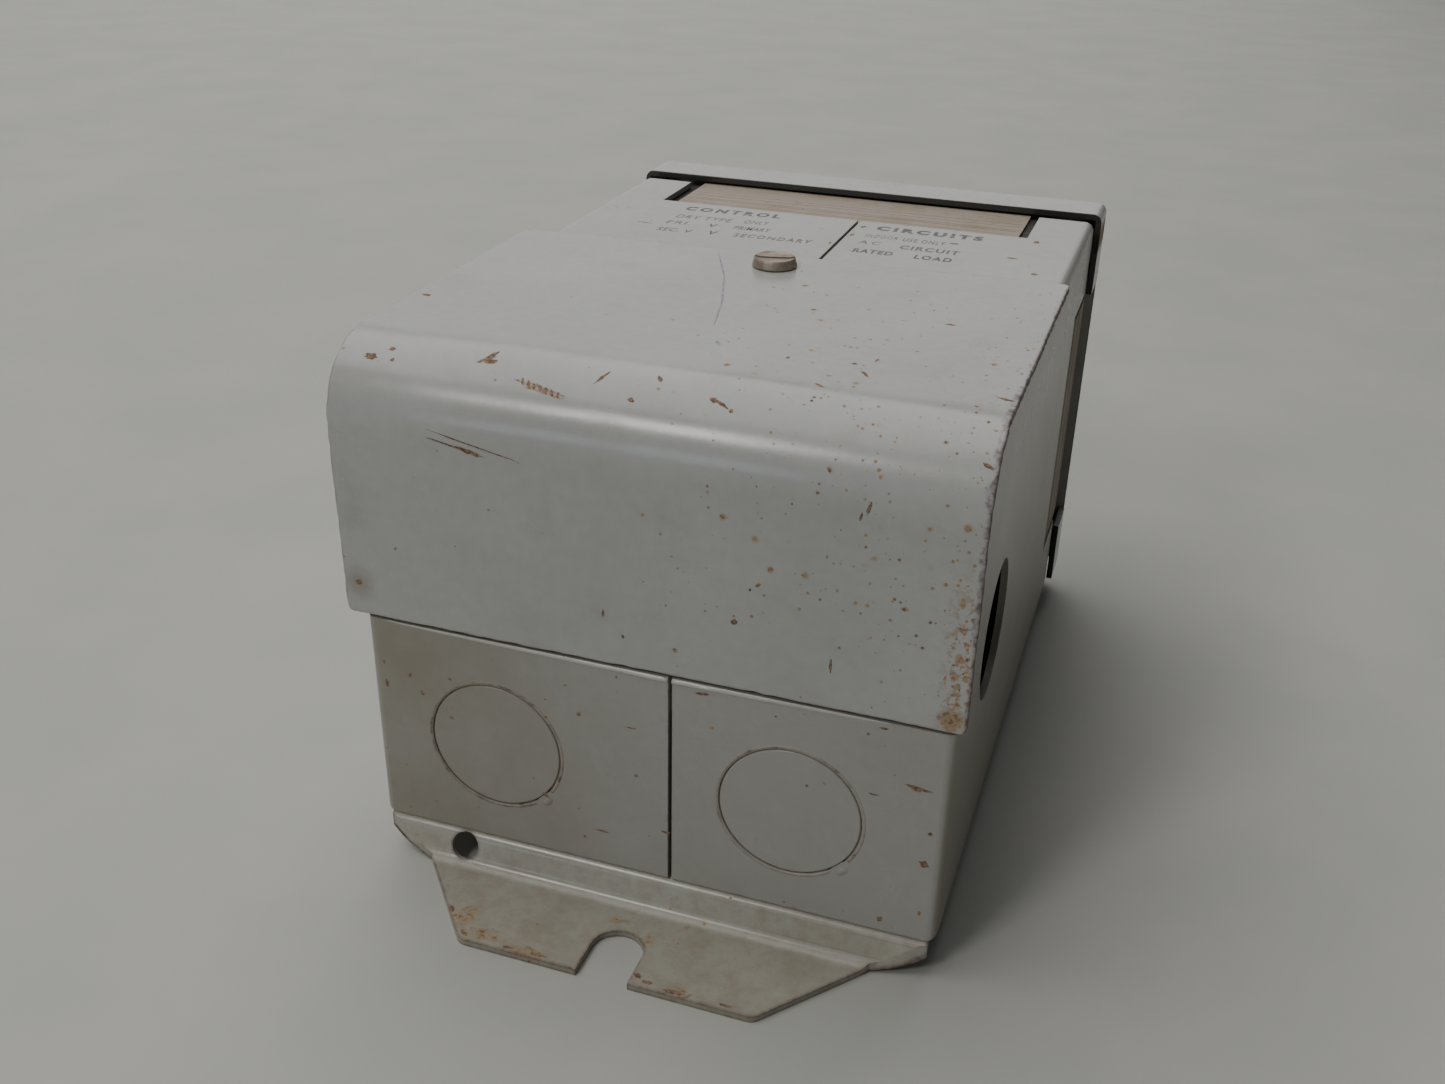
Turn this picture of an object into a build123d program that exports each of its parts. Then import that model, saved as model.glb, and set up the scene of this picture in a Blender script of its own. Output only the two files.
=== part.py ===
"""Small wall-mounted dry-type transformer in a folded sheet-steel case.

Frame: +Z up, out of the wall that it is fixed to, with the mounting plane at Z = 0.
-Y is the conduit end, where the wiring compartment is. The origin is under the
middle of the whole object, on the mounting plane.

Sketches are drawn in case coordinates: x from the middle of the case, y from the
outside of its conduit end, z from the mounting plane. All sizes are in millimetres.
"""
import os
from build123d import *

# ---- driving dimensions: sheet metal --------------------------------------
sheet = 1.2
bend_radius = 1.8
case_width = 95.25
body_length = 135.8          # conduit end to the outside of the end cap
foot_drop = 5.7              # the back plate stands this far off the wall
front_z = 88.6               # outside of the two front flaps
case_far_y = 120.3
seam_x = 4.2                 # where the left and right flaps meet
seam_gap = 0.6
back_flange = 9.5
front_flap_near_y = 58.0     # the front flaps start here, under the cover
near_flap_top_z = 45.0       # the end flaps stop here, just below the cover
window_near_y = 103.8
front_window_half = 36.85
side_window_z = (23.4, 74.1)

# ears, at both ends of the back plate
plate_inset = 1.2            # the back plate hides behind the shells' rounded edges
ear_reach = 18.5
jog_run = 2.3
jog_bend_radius = 2.6
ear_crease_half = 38.1
ear_tip_half = 24.4
ear_corner_radius = 2.5
ear_slot_width = 8.6
ear_slot_depth = 10.4
ear_hole_x = -32.1
ear_hole_radius = 2.4

# knockouts: 22.2 mm trade size
knockout_radius = 11.375
disc_radius = 11.15
near_knockout_x = (-25.7, 23.5)
near_knockout_z = 25.3
side_knockout_y = 28.3
side_knockout_z = 46.9
tab_width = 2.4
tab_angle = -45.0
tab_clearance = 0.03
tab_overlap = 0.3

# wiring cover and its screw
cover_left = -50.725
cover_right = 48.525
cover_gap = 0.1
cover_near_y = -0.2          # the outside of its end panel
cover_rear_y = 72.8          # at its right corner
cover_rear_left_y = 69.2     # the rear edge was sheared askew
cover_lower_z = 45.4
cover_bend_radius = 12.5
cover_corner_radius = 1.2
lip_half_width = 44.0        # the lip behind the end flaps
lip_z = (38.0, 54.0)
lip_weld_x = (-30.0, 0.0, 30.0)
lip_weld_z = 50.0
lip_weld_radius = 2.5
screw_x = -0.9
screw_y = 63.7
screw_head_radius = 3.9
screw_head_height = 1.6
screw_shank_radius = 2.0
screw_shank_length = 12.0
screw_clearance = 0.05
screw_hole_radius = 2.4
screw_head_round = 0.5
screw_tip_chamfer = 0.5
screw_slot = 1.1
screw_slot_depth = 0.8
nut_across = 8.0
nut_height = 3.2

# end cap
cap_near_y = 124.0
cap_side_proud = 1.1
cap_front_proud = 0.7
cap_window_z = (20.0, 73.0)

# laminated core: a stack of E and I plates, 3/4 inch thick
stack_near_y = 104.6
stack = 19.05
leg = 15.875
tongue = 31.75
core_clearance = 0.15
core_proud_z = 87.8
front_lug_half = 34.85
side_lug_z = (25.0, 72.4)
side_lug_half = 47.5
core_bolt_inset = 8.2
core_bolt_radius = 2.3
core_hole_radius = 2.5
core_bolt_across = 8.0
core_bolt_head_height = 3.0
core_bolt_tip = 1.2
clamp_thickness = 1.5
clamp_half_width = 45.6
clamp_margin = 1.6
clamp_window_half = 33.0
washer_radius = 4.8
washer_thickness = 0.8
spacer_radius = 3.6

# coil
bobbin_wall = 1.2
coil_half_x = 31.3
coil_half_y = 20.0
bobbin_clearance = 0.2
primary_build = 3.8
insulation_build = 0.5
secondary_build = 3.9
wrap_build = 0.7
bobbin_corner_radius = 0.8
flange_corner_radius = 2.0
coil_end_gap = 0.4

# wiring compartment
barrier_y = 76.0
barrier_thickness = 1.6
board_thickness = 3.2
board_half_width = 44.5
board_z = (27.0, 49.0)
terminal_count = 6
terminal_pitch = 12.6
terminal_z = 38.0
rib_height = 6.0
rib_thickness = 1.8
terminal_plate = 8.0
terminal_plate_thickness = 1.0
terminal_screw_radius = 1.9
terminal_head_radius = 3.6
terminal_head_height = 2.2
terminal_slot = 1.0
terminal_screw_far_y = 81.4
lug_radius = 3.8
lug_thickness = 0.8
lug_barrel_radius = 1.7
lug_barrel_top_z = 47.0
terminal_nut_across = 6.5
terminal_nut_height = 2.0
lead_radius = 1.1
lead_turn_z = 60.0
lead_spread = 0.72
lead_bend_share = 0.45
bracket_leg = 8.4
bracket_thickness = 0.9
bracket_z = (22.0, 66.0)
rivet_x = 41.8
rivet_radius = 1.5
rivet_head_radius = 2.5
rivet_head_height = 1.2

# ---- worked-out places ------------------------------------------------------
case_half = case_width / 2
plate_half = case_half - plate_inset
back_top_z = foot_drop + sheet
cap_half = case_half + cap_side_proud
middle_x = -(cover_left + cap_half) / 2      # puts the whole object's middle at X = 0
near_y = -body_length / 2
stack_far_y = stack_near_y + stack
stack_middle_y = stack_near_y + stack / 2
core_inner_half = case_half - sheet - core_clearance
core_bottom_z = back_top_z + 0.1
core_inner_z = (back_top_z + sheet + core_clearance, front_z - sheet - core_clearance)
window_z = (core_bottom_z + leg, core_proud_z - leg)
core_bolt_x = case_half - core_bolt_inset
core_bolt_z = (core_bottom_z + core_bolt_inset, core_proud_z - core_bolt_inset)
cap_inner_y = body_length - sheet
cover_inner_z = front_z + cover_gap
cover_inner_y = cover_near_y + sheet
wall_near_y = cover_inner_y + cover_gap
wall_corner_radius = cover_bend_radius - sheet - cover_gap
lip_near_y = sheet + cover_gap
cover_top_z = cover_inner_z + sheet
screw_seat_z = cover_top_z + screw_clearance
tongue_half = tongue / 2
window_half = tongue_half + leg


def level(z):
    """A sketch plane at height z: local x and y are the case's x and y."""
    return Plane(origin=(middle_x, near_y, z), x_dir=(1, 0, 0), z_dir=(0, 0, 1))


def section(x):
    """A side-view sketch plane at x: local x and y are the case's y and z."""
    return Plane(origin=(middle_x + x, near_y, 0), x_dir=(0, 1, 0), z_dir=(1, 0, 0))


def facing(y):
    """An end-view sketch plane at y: local x and y are the case's x and z, and it
    faces the conduit end, so a negative extrusion runs towards the far end."""
    return Plane(origin=(middle_x, near_y + y, 0), x_dir=(1, 0, 0), z_dir=(0, -1, 0))


def span(x_range, y_range):
    """A rectangle between two x and two y values of the sketch."""
    with Locations(((x_range[0] + x_range[1]) / 2, (y_range[0] + y_range[1]) / 2)):
        Rectangle(abs(x_range[1] - x_range[0]), abs(y_range[1] - y_range[0]))


def save(piece, name):
    """Labels a finished piece and writes it."""
    piece.part.label = name
    export_step(piece.part, f"parts/{name}.step")


os.makedirs("parts", exist_ok=True)

# ---- back plate with a jogged ear at each end ---------------------------------
with BuildPart() as back_plate:
    with BuildSketch(section(-plate_half)):
        with BuildLine():
            FilletPolyline(
                (-ear_reach, sheet),
                (-jog_run, sheet),
                (0, back_top_z),
                (body_length, back_top_z),
                (body_length + jog_run, sheet),
                (body_length + ear_reach, sheet),
                radius=jog_bend_radius,
            )
            offset(amount=sheet, side=Side.RIGHT)
        make_face()
    extrude(amount=2 * plate_half)
    with BuildSketch(level(0)) as plan:
        with BuildLine():
            Polyline(
                (-plate_half, body_length / 2),
                (-plate_half, 0),
                (-ear_crease_half, -jog_run),
                (-ear_tip_half, -ear_reach),
                (ear_tip_half, -ear_reach),
                (ear_crease_half, -jog_run),
                (plate_half, 0),
                (plate_half, body_length / 2),
                close=True,
            )
        make_face()
        mirror(about=Plane(origin=(0, body_length / 2, 0), z_dir=(0, 1, 0)))
        tips = plan.vertices().group_by(Axis.Y)
        fillet(tips[0] + tips[-1], radius=ear_corner_radius)
    extrude(amount=back_top_z, mode=Mode.INTERSECT)
    for ear_edge, inward in ((-ear_reach, 1), (body_length + ear_reach, -1)):
        round_centre = ear_edge + inward * (ear_slot_depth - ear_slot_width / 2)
        with BuildSketch(level(0)):
            span((-ear_slot_width / 2, ear_slot_width / 2), (ear_edge, round_centre))
            with Locations((0, round_centre)):
                Circle(ear_slot_width / 2)
        extrude(amount=sheet, mode=Mode.SUBTRACT)
    jog_middle = (middle_x + ear_hole_x, near_y - jog_run / 2, (back_top_z + sheet) / 2)
    with BuildSketch(Plane(origin=jog_middle, x_dir=(1, 0, 0), z_dir=(0, -foot_drop, jog_run))):
        Circle(ear_hole_radius)
    extrude(amount=2 * sheet, both=True, mode=Mode.SUBTRACT)
save(back_plate, "back_plate")


# ---- the two case shells, each a side wall with its flaps ----------------------
def tab(centre_x, centre_y):
    """The bridge that holds a knockout disc, drawn in the sheet's own sketch."""
    inner_end = disc_radius + tab_clearance
    length = knockout_radius + tab_overlap - inner_end
    with Locations(Location((centre_x, centre_y), tab_angle)):
        with Locations((inner_end + length / 2, 0)):
            Rectangle(length, tab_width)


def case_shell(side):
    """One shell: side is -1 for the left one and 1 for the right one."""
    seam_edge = seam_x + side * seam_gap / 2
    outer = side * case_half
    inner = side * (case_half - sheet)
    knockout_x = near_knockout_x[0] if side < 0 else near_knockout_x[1]
    with BuildPart() as shell:
        with BuildSketch(section(seam_edge)):
            span((0, case_far_y), (back_top_z, front_z))
        extrude(amount=outer - seam_edge)
        outside = shell.faces().sort_by(Axis.X)[-1 if side > 0 else 0]
        far_edge = outside.edges().filter_by(Axis.Z).sort_by(Axis.Y)[-1]
        fillet([edge for edge in outside.edges() if edge != far_edge], radius=bend_radius)
        # hollow it, then cut the flaps back to their edges
        with BuildSketch(section(seam_edge)):
            span((sheet, case_far_y), (back_top_z + sheet, front_z - sheet))
            span((0, front_flap_near_y), (near_flap_top_z, front_z))
        extrude(amount=inner - seam_edge, mode=Mode.SUBTRACT)
        # the side wall stands back inside the cover's panel and bend
        with BuildSketch(section(seam_edge)):
            with BuildLine():
                upright = Line((wall_near_y, near_flap_top_z), (wall_near_y, front_z - wall_corner_radius))
                bend_end = (wall_near_y + wall_corner_radius, front_z)
                bend = TangentArc(upright @ 1, bend_end, tangent=upright % 1)
                Polyline(
                    bend @ 1,
                    (wall_near_y + wall_corner_radius, front_z + sheet),
                    (-sheet, front_z + sheet),
                    (-sheet, near_flap_top_z),
                    upright @ 0,
                )
            make_face()
        extrude(amount=outer - seam_edge, mode=Mode.SUBTRACT)
        with BuildSketch(level(back_top_z)):
            span((seam_edge, side * (case_half - back_flange)), (sheet, case_far_y))
        extrude(amount=sheet, mode=Mode.SUBTRACT)
        # windows that the core stands in
        with BuildSketch(level(front_z)):
            span((seam_edge, side * front_window_half), (window_near_y, case_far_y))
        extrude(amount=-sheet, mode=Mode.SUBTRACT)
        with BuildSketch(section(outer)):
            span((window_near_y, case_far_y), side_window_z)
            with Locations((side_knockout_y, side_knockout_z)):
                Circle(knockout_radius)
        extrude(amount=-side * sheet, mode=Mode.SUBTRACT)
        with BuildSketch(facing(0)):
            with Locations((knockout_x, near_knockout_z)):
                Circle(knockout_radius)
        extrude(amount=-sheet, mode=Mode.SUBTRACT)
        with BuildSketch(facing(0)):
            tab(knockout_x, near_knockout_z)
        extrude(amount=-sheet)
        if side < 0:
            # the left shell still has its side knockout, and takes the cover's screw
            with BuildSketch(section(outer)):
                tab(side_knockout_y, side_knockout_z)
            extrude(amount=sheet)
            with BuildSketch(level(front_z)):
                with Locations((screw_x, screw_y)):
                    Circle(screw_hole_radius)
            extrude(amount=-sheet, mode=Mode.SUBTRACT)
    return shell


for shell_side, shell_name in ((-1, "left_case_shell"), (1, "right_case_shell")):
    save(case_shell(shell_side), shell_name)


# ---- knockout discs -------------------------------------------------------------
def knockout_disc(plane, centre, inward):
    """A disc of the sheet, inward being the signed depth from its outside face."""
    with BuildPart() as disc:
        with BuildSketch(plane):
            with Locations(centre):
                Circle(disc_radius)
        extrude(amount=inward)
    return disc


for disc_x, disc_name in zip(near_knockout_x, ("knockout_near_left", "knockout_near_right")):
    save(knockout_disc(facing(0), (disc_x, near_knockout_z), -sheet), disc_name)
save(knockout_disc(section(-case_half), (side_knockout_y, side_knockout_z), sheet), "knockout_side")

# ---- wiring cover, its screw and the nut under the left flap ----------------------
with BuildPart() as wiring_cover:
    with BuildSketch(section(cover_left)):
        with BuildLine():
            FilletPolyline(
                (cover_rear_y, cover_top_z),
                (cover_near_y, cover_top_z),
                (cover_near_y, cover_lower_z),
                radius=cover_bend_radius,
            )
            offset(amount=sheet, side=Side.LEFT)
        make_face()
    extrude(amount=cover_right - cover_left)
    with BuildSketch(level(cover_top_z)):
        with BuildLine():
            Polyline(
                (cover_left, cover_rear_left_y),
                (cover_right, cover_rear_y),
                (cover_left, cover_rear_y),
                close=True,
            )
        make_face()
    extrude(amount=-sheet, mode=Mode.SUBTRACT)
    rear_corners = wiring_cover.faces().sort_by(Axis.Y)[-1].edges().filter_by(Axis.Z)
    lower_corners = wiring_cover.faces().sort_by(Axis.Z)[0].edges().filter_by(Axis.Y)
    fillet(rear_corners + lower_corners, radius=cover_corner_radius)
    with BuildSketch(level(cover_top_z)):
        with Locations((screw_x, screw_y)):
            Circle(screw_hole_radius)
    extrude(amount=-sheet, mode=Mode.SUBTRACT)
    # a lip, welded on at three spots, hooks behind the end flaps
    with BuildSketch(facing(lip_near_y)):
        span((-lip_half_width, lip_half_width), lip_z)
    extrude(amount=-sheet)
    with BuildSketch(facing(lip_near_y)):
        with Locations(*[(weld_x, lip_weld_z) for weld_x in lip_weld_x]):
            Circle(lip_weld_radius)
    extrude(amount=lip_near_y - cover_inner_y)
save(wiring_cover, "wiring_cover")

with BuildPart() as cover_screw:
    with BuildSketch(level(screw_seat_z)):
        with Locations((screw_x, screw_y)):
            Circle(screw_head_radius)
    extrude(amount=screw_head_height)
    fillet(cover_screw.faces().sort_by(Axis.Z)[-1].edges(), radius=screw_head_round)
    with BuildSketch(level(screw_seat_z + screw_head_height)):
        with Locations((screw_x, screw_y)):
            Rectangle(2 * screw_head_radius, screw_slot)
    extrude(amount=-screw_slot_depth, mode=Mode.SUBTRACT)
    with BuildSketch(level(screw_seat_z)):
        with Locations((screw_x, screw_y)):
            Circle(screw_shank_radius)
    extrude(amount=-screw_shank_length)
    chamfer(cover_screw.faces().sort_by(Axis.Z)[0].edges(), length=screw_tip_chamfer)
save(cover_screw, "cover_screw")

with BuildPart() as cover_screw_nut:
    with BuildSketch(level(front_z - sheet)):
        with Locations((screw_x, screw_y)):
            Rectangle(nut_across, nut_across)
            Circle(screw_shank_radius + screw_clearance, mode=Mode.SUBTRACT)
    extrude(amount=-nut_height)
save(cover_screw_nut, "cover_screw_nut")

# ---- end cap: a shallow pan behind the core, open towards the back plate -----------
cap_top_z = front_z + cap_front_proud
core_bolt_places = [(x, z) for x in (-core_bolt_x, core_bolt_x) for z in core_bolt_z]
with BuildPart() as end_cap:
    with BuildSketch(facing(cap_near_y)):
        span((-cap_half, cap_half), (core_bottom_z, cap_top_z))
    extrude(amount=cap_near_y - body_length)
    rim = end_cap.faces().sort_by(Axis.Y)[-1].edges().sort_by(Axis.Z)[1:]
    upright = end_cap.edges().filter_by(Axis.Y).group_by(Axis.Z)[-1]
    fillet(rim + upright, radius=bend_radius)
    with BuildSketch(facing(cap_near_y)):
        span((sheet - cap_half, cap_half - sheet), (core_bottom_z, cap_top_z - sheet))
    extrude(amount=cap_near_y - cap_inner_y, mode=Mode.SUBTRACT)
    with BuildSketch(section(-cap_half)):
        span((cap_near_y, cap_inner_y), cap_window_z)
    extrude(amount=2 * cap_half, mode=Mode.SUBTRACT)
    with BuildSketch(facing(cap_inner_y)):
        with Locations(*core_bolt_places):
            Circle(core_hole_radius)
    extrude(amount=-sheet, mode=Mode.SUBTRACT)
save(end_cap, "end_cap")


# ---- laminated core ---------------------------------------------------------------
def laminations(z_range):
    """The part of the stack between two heights."""
    with BuildPart() as plates:
        with BuildSketch(facing(stack_near_y)) as outline:
            span((-core_inner_half, core_inner_half), core_inner_z)
            span((-front_lug_half, front_lug_half), (core_bottom_z, core_proud_z))
            span((-side_lug_half, side_lug_half), side_lug_z)
            for side in (-1, 1):
                with Locations((side * (tongue_half + leg / 2), sum(window_z) / 2)):
                    Rectangle(leg, window_z[1] - window_z[0], mode=Mode.SUBTRACT)
            with Locations(*core_bolt_places):
                Circle(core_hole_radius, mode=Mode.SUBTRACT)
            with Locations((0, sum(z_range) / 2)):
                Rectangle(case_width, z_range[1] - z_range[0], mode=Mode.INTERSECT)
        extrude(amount=-stack)
    return plates


save(laminations((core_bottom_z, window_z[1])), "core_e_laminations")
save(laminations((window_z[1], core_proud_z)), "core_i_laminations")

with BuildPart() as core_clamp_frame:
    with BuildSketch(facing(stack_near_y)):
        clamp_z = (core_inner_z[0] + clamp_margin, core_inner_z[1] - clamp_margin)
        span((-clamp_half_width, clamp_half_width), clamp_z)
        with Locations((0, sum(window_z) / 2)):
            Rectangle(2 * clamp_window_half, window_z[1] - window_z[0] + clamp_margin, mode=Mode.SUBTRACT)
        with Locations(*core_bolt_places):
            Circle(core_hole_radius, mode=Mode.SUBTRACT)
    extrude(amount=clamp_thickness)
save(core_clamp_frame, "core_clamp_frame")

washer_near_y = stack_near_y - clamp_thickness - washer_thickness
nut_near_y = washer_near_y - core_bolt_head_height
with BuildPart() as core_bolts:
    with BuildSketch(facing(body_length)):
        with Locations(*core_bolt_places):
            RegularPolygon(core_bolt_across / 2, 6, major_radius=False)
    extrude(amount=-core_bolt_head_height)
    with BuildSketch(facing(body_length)):
        with Locations(*core_bolt_places):
            Circle(core_bolt_radius)
    extrude(amount=body_length - nut_near_y + core_bolt_tip)
save(core_bolts, "core_bolts")


def bolt_rings(name, near_face, length, outer_radius, inner_radius):
    """One ring on each core bolt, from near_face towards the far end."""
    with BuildPart() as rings:
        with BuildSketch(facing(near_face)):
            with Locations(*core_bolt_places):
                Circle(outer_radius)
                Circle(inner_radius, mode=Mode.SUBTRACT)
        extrude(amount=-length)
    save(rings, name)


bolt_rings("core_bolt_washers", washer_near_y, washer_thickness, washer_radius, core_hole_radius)
bolt_rings("end_cap_spacers", stack_far_y, cap_inner_y - stack_far_y, spacer_radius, core_hole_radius)

with BuildPart() as core_bolt_nuts:
    with BuildSketch(facing(nut_near_y)):
        with Locations(*core_bolt_places):
            RegularPolygon(core_bolt_across / 2, 6, major_radius=False)
            Circle(core_bolt_radius, mode=Mode.SUBTRACT)
    extrude(amount=-core_bolt_head_height)
save(core_bolt_nuts, "core_bolt_nuts")


# ---- coil on the core's middle leg ---------------------------------------------------
def winding(grown, build, z_range):
    """A ring round the bobbin's tube, from grown to grown + build outside the tube."""
    with BuildPart() as ring:
        with BuildSketch(level(z_range[0])):
            with Locations((0, stack_middle_y)):
                for outside, mode in ((grown + build, Mode.ADD), (grown, Mode.SUBTRACT)):
                    width = 2 * (tube_half_x + outside)
                    depth = 2 * (tube_half_y + outside)
                    RectangleRounded(width, depth, bobbin_corner_radius + outside, mode=mode)
        extrude(amount=z_range[1] - z_range[0])
    return ring


bore_half_x = tongue_half + bobbin_clearance
bore_half_y = stack / 2 + bobbin_clearance
tube_half_x = bore_half_x + bobbin_wall
tube_half_y = bore_half_y + bobbin_wall
bobbin_z = (window_z[0] + bobbin_clearance, window_z[1] - bobbin_clearance)
with BuildPart() as coil_bobbin:
    with BuildSketch(level(bobbin_z[0])):
        with Locations((0, stack_middle_y)):
            RectangleRounded(2 * tube_half_x, 2 * tube_half_y, bobbin_corner_radius)
    extrude(amount=bobbin_z[1] - bobbin_z[0])
    for flange_z in (bobbin_z[0], bobbin_z[1] - bobbin_wall):
        with BuildSketch(level(flange_z)):
            with Locations((0, stack_middle_y)):
                RectangleRounded(2 * coil_half_x, 2 * coil_half_y, flange_corner_radius)
        extrude(amount=bobbin_wall)
    with BuildSketch(level(bobbin_z[0])):
        with Locations((0, stack_middle_y)):
            Rectangle(2 * bore_half_x, 2 * bore_half_y)
    extrude(amount=bobbin_z[1] - bobbin_z[0], mode=Mode.SUBTRACT)
save(coil_bobbin, "coil_bobbin")

coil_z = (bobbin_z[0] + bobbin_wall + coil_end_gap, bobbin_z[1] - bobbin_wall - coil_end_gap)
grown = 0
for layer_name, layer_build in (
    ("primary_winding", primary_build),
    ("winding_insulation", insulation_build),
    ("secondary_winding", secondary_build),
    ("coil_outer_wrap", wrap_build),
):
    save(winding(grown, layer_build, coil_z), layer_name)
    grown += layer_build
coil_near_y = stack_middle_y - tube_half_y - grown

# ---- barrier between the coil and the wiring compartment -------------------------------
terminal_x = [(i - (terminal_count - 1) / 2) * terminal_pitch for i in range(terminal_count)]
terminal_places = [(x, terminal_z) for x in terminal_x]
rivet_places = [(-rivet_x, terminal_z), (rivet_x, terminal_z)]
barrier_far_y = barrier_y + barrier_thickness
board_near_y = barrier_y - board_thickness
bracket_far_y = barrier_far_y + bracket_thickness

with BuildPart() as barrier_board:
    with BuildSketch(facing(barrier_y)):
        span((-core_inner_half, core_inner_half), core_inner_z)
        with Locations(*terminal_places):
            Circle(terminal_screw_radius, mode=Mode.SUBTRACT)
        with Locations(*rivet_places):
            Circle(rivet_radius, mode=Mode.SUBTRACT)
    extrude(amount=-barrier_thickness)
save(barrier_board, "barrier_board")

with BuildPart() as barrier_brackets:
    for side in (-1, 1):
        wall = side * (case_half - sheet)
        with BuildSketch(level(bracket_z[0])):
            span((wall, wall - side * bracket_leg), (barrier_far_y, bracket_far_y))
            span((wall, wall - side * bracket_thickness), (barrier_far_y, barrier_far_y + bracket_leg))
        extrude(amount=bracket_z[1] - bracket_z[0])
    with BuildSketch(facing(barrier_far_y)):
        with Locations(*rivet_places):
            Circle(rivet_radius)
    extrude(amount=-bracket_thickness, mode=Mode.SUBTRACT)
save(barrier_brackets, "barrier_brackets")

# ---- terminal board and its hardware ------------------------------------------------------
with BuildPart() as terminal_board:
    with BuildSketch(facing(barrier_y)):
        span((-board_half_width, board_half_width), board_z)
    extrude(amount=board_thickness)
    with BuildSketch(facing(board_near_y)):
        with Locations((0, sum(board_z) / 2)):
            with GridLocations(terminal_pitch, 0, terminal_count + 1, 1):
                Rectangle(rib_thickness, board_z[1] - board_z[0])
    extrude(amount=rib_height)
    with BuildSketch(facing(board_near_y)):
        with Locations(*terminal_places):
            Circle(terminal_screw_radius)
        with Locations(*rivet_places):
            Circle(rivet_radius)
    extrude(amount=-board_thickness, mode=Mode.SUBTRACT)
save(terminal_board, "terminal_board")

with BuildPart() as terminal_plates:
    with BuildSketch(facing(board_near_y)):
        with Locations(*terminal_places):
            Rectangle(terminal_plate, terminal_plate)
            Circle(terminal_screw_radius, mode=Mode.SUBTRACT)
    extrude(amount=terminal_plate_thickness)
save(terminal_plates, "terminal_plates")

head_far_y = board_near_y - terminal_plate_thickness
head_near_y = head_far_y - terminal_head_height
with BuildPart() as terminal_screws:
    with BuildSketch(facing(head_far_y)):
        with Locations(*terminal_places):
            Circle(terminal_head_radius)
    extrude(amount=terminal_head_height)
    with BuildSketch(facing(head_near_y)):
        with Locations(*terminal_places):
            Rectangle(2 * terminal_head_radius, terminal_slot)
    extrude(amount=-terminal_slot, mode=Mode.SUBTRACT)
    with BuildSketch(facing(head_far_y)):
        with Locations(*terminal_places):
            Circle(terminal_screw_radius)
    extrude(amount=head_far_y - terminal_screw_far_y)
save(terminal_screws, "terminal_screws")

lug_far_y = barrier_far_y + lug_thickness
barrel_y = barrier_far_y + lug_barrel_radius
with BuildPart() as terminal_lugs:
    with BuildSketch(facing(barrier_far_y)):
        with Locations(*terminal_places):
            Circle(lug_radius)
        for x in terminal_x:
            span((x - lug_barrel_radius, x + lug_barrel_radius), (terminal_z, lug_barrel_top_z))
        with Locations(*terminal_places):
            Circle(terminal_screw_radius, mode=Mode.SUBTRACT)
    extrude(amount=-lug_thickness)
    with BuildSketch(level(terminal_z + lug_radius)):
        with Locations(*[(x, barrel_y) for x in terminal_x]):
            Circle(lug_barrel_radius)
    extrude(amount=lug_barrel_top_z - terminal_z - lug_radius)
save(terminal_lugs, "terminal_lugs")

with BuildPart() as terminal_nuts:
    with BuildSketch(facing(lug_far_y)):
        with Locations(*terminal_places):
            RegularPolygon(terminal_nut_across / 2, 6, major_radius=False)
            Circle(terminal_screw_radius, mode=Mode.SUBTRACT)
    extrude(amount=-terminal_nut_height)
save(terminal_nuts, "terminal_nuts")

with BuildPart() as board_rivets:
    with BuildSketch(facing(board_near_y)):
        with Locations(*rivet_places):
            Circle(rivet_head_radius)
    extrude(amount=rivet_head_height)
    fillet(board_rivets.faces().group_by(Axis.Y)[0].edges(), radius=rivet_head_height * 0.8)
    with BuildSketch(facing(board_near_y)):
        with Locations(*rivet_places):
            Circle(rivet_radius)
    extrude(amount=board_near_y - bracket_far_y)
    with BuildSketch(facing(bracket_far_y)):
        with Locations(*rivet_places):
            Circle(rivet_head_radius)
    extrude(amount=-rivet_head_height)
save(board_rivets, "board_rivets")


# ---- leads from the coil to the terminals ---------------------------------------------------
def coil_leads(name, places):
    """Stiff leads, each straight up from its lug and then back into the coil."""
    with BuildPart() as leads:
        for x in places:
            lug_end = (middle_x + x, near_y + barrel_y, lug_barrel_top_z)
            corner = (middle_x + x, near_y + barrel_y, lead_turn_z)
            coil_end = (middle_x + x * lead_spread, near_y + coil_near_y, lead_turn_z)
            bend = lead_bend_share * (lead_turn_z - lug_barrel_top_z)
            with BuildLine() as route:
                FilletPolyline(lug_end, corner, coil_end, radius=bend)
            with BuildSketch(Plane(origin=lug_end, z_dir=(0, 0, 1))):
                Circle(lead_radius)
            sweep(path=route.wires()[0])
    save(leads, name)


coil_leads("primary_leads", terminal_x[:2])
coil_leads("secondary_leads", terminal_x[2:])
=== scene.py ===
"""Looks of a small wall-mounted dry-type transformer: worn grey enamel on folded sheet steel."""
import math
import random

import bmesh
import bpy
from mathutils import Euler, Matrix, Vector, noise


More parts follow.
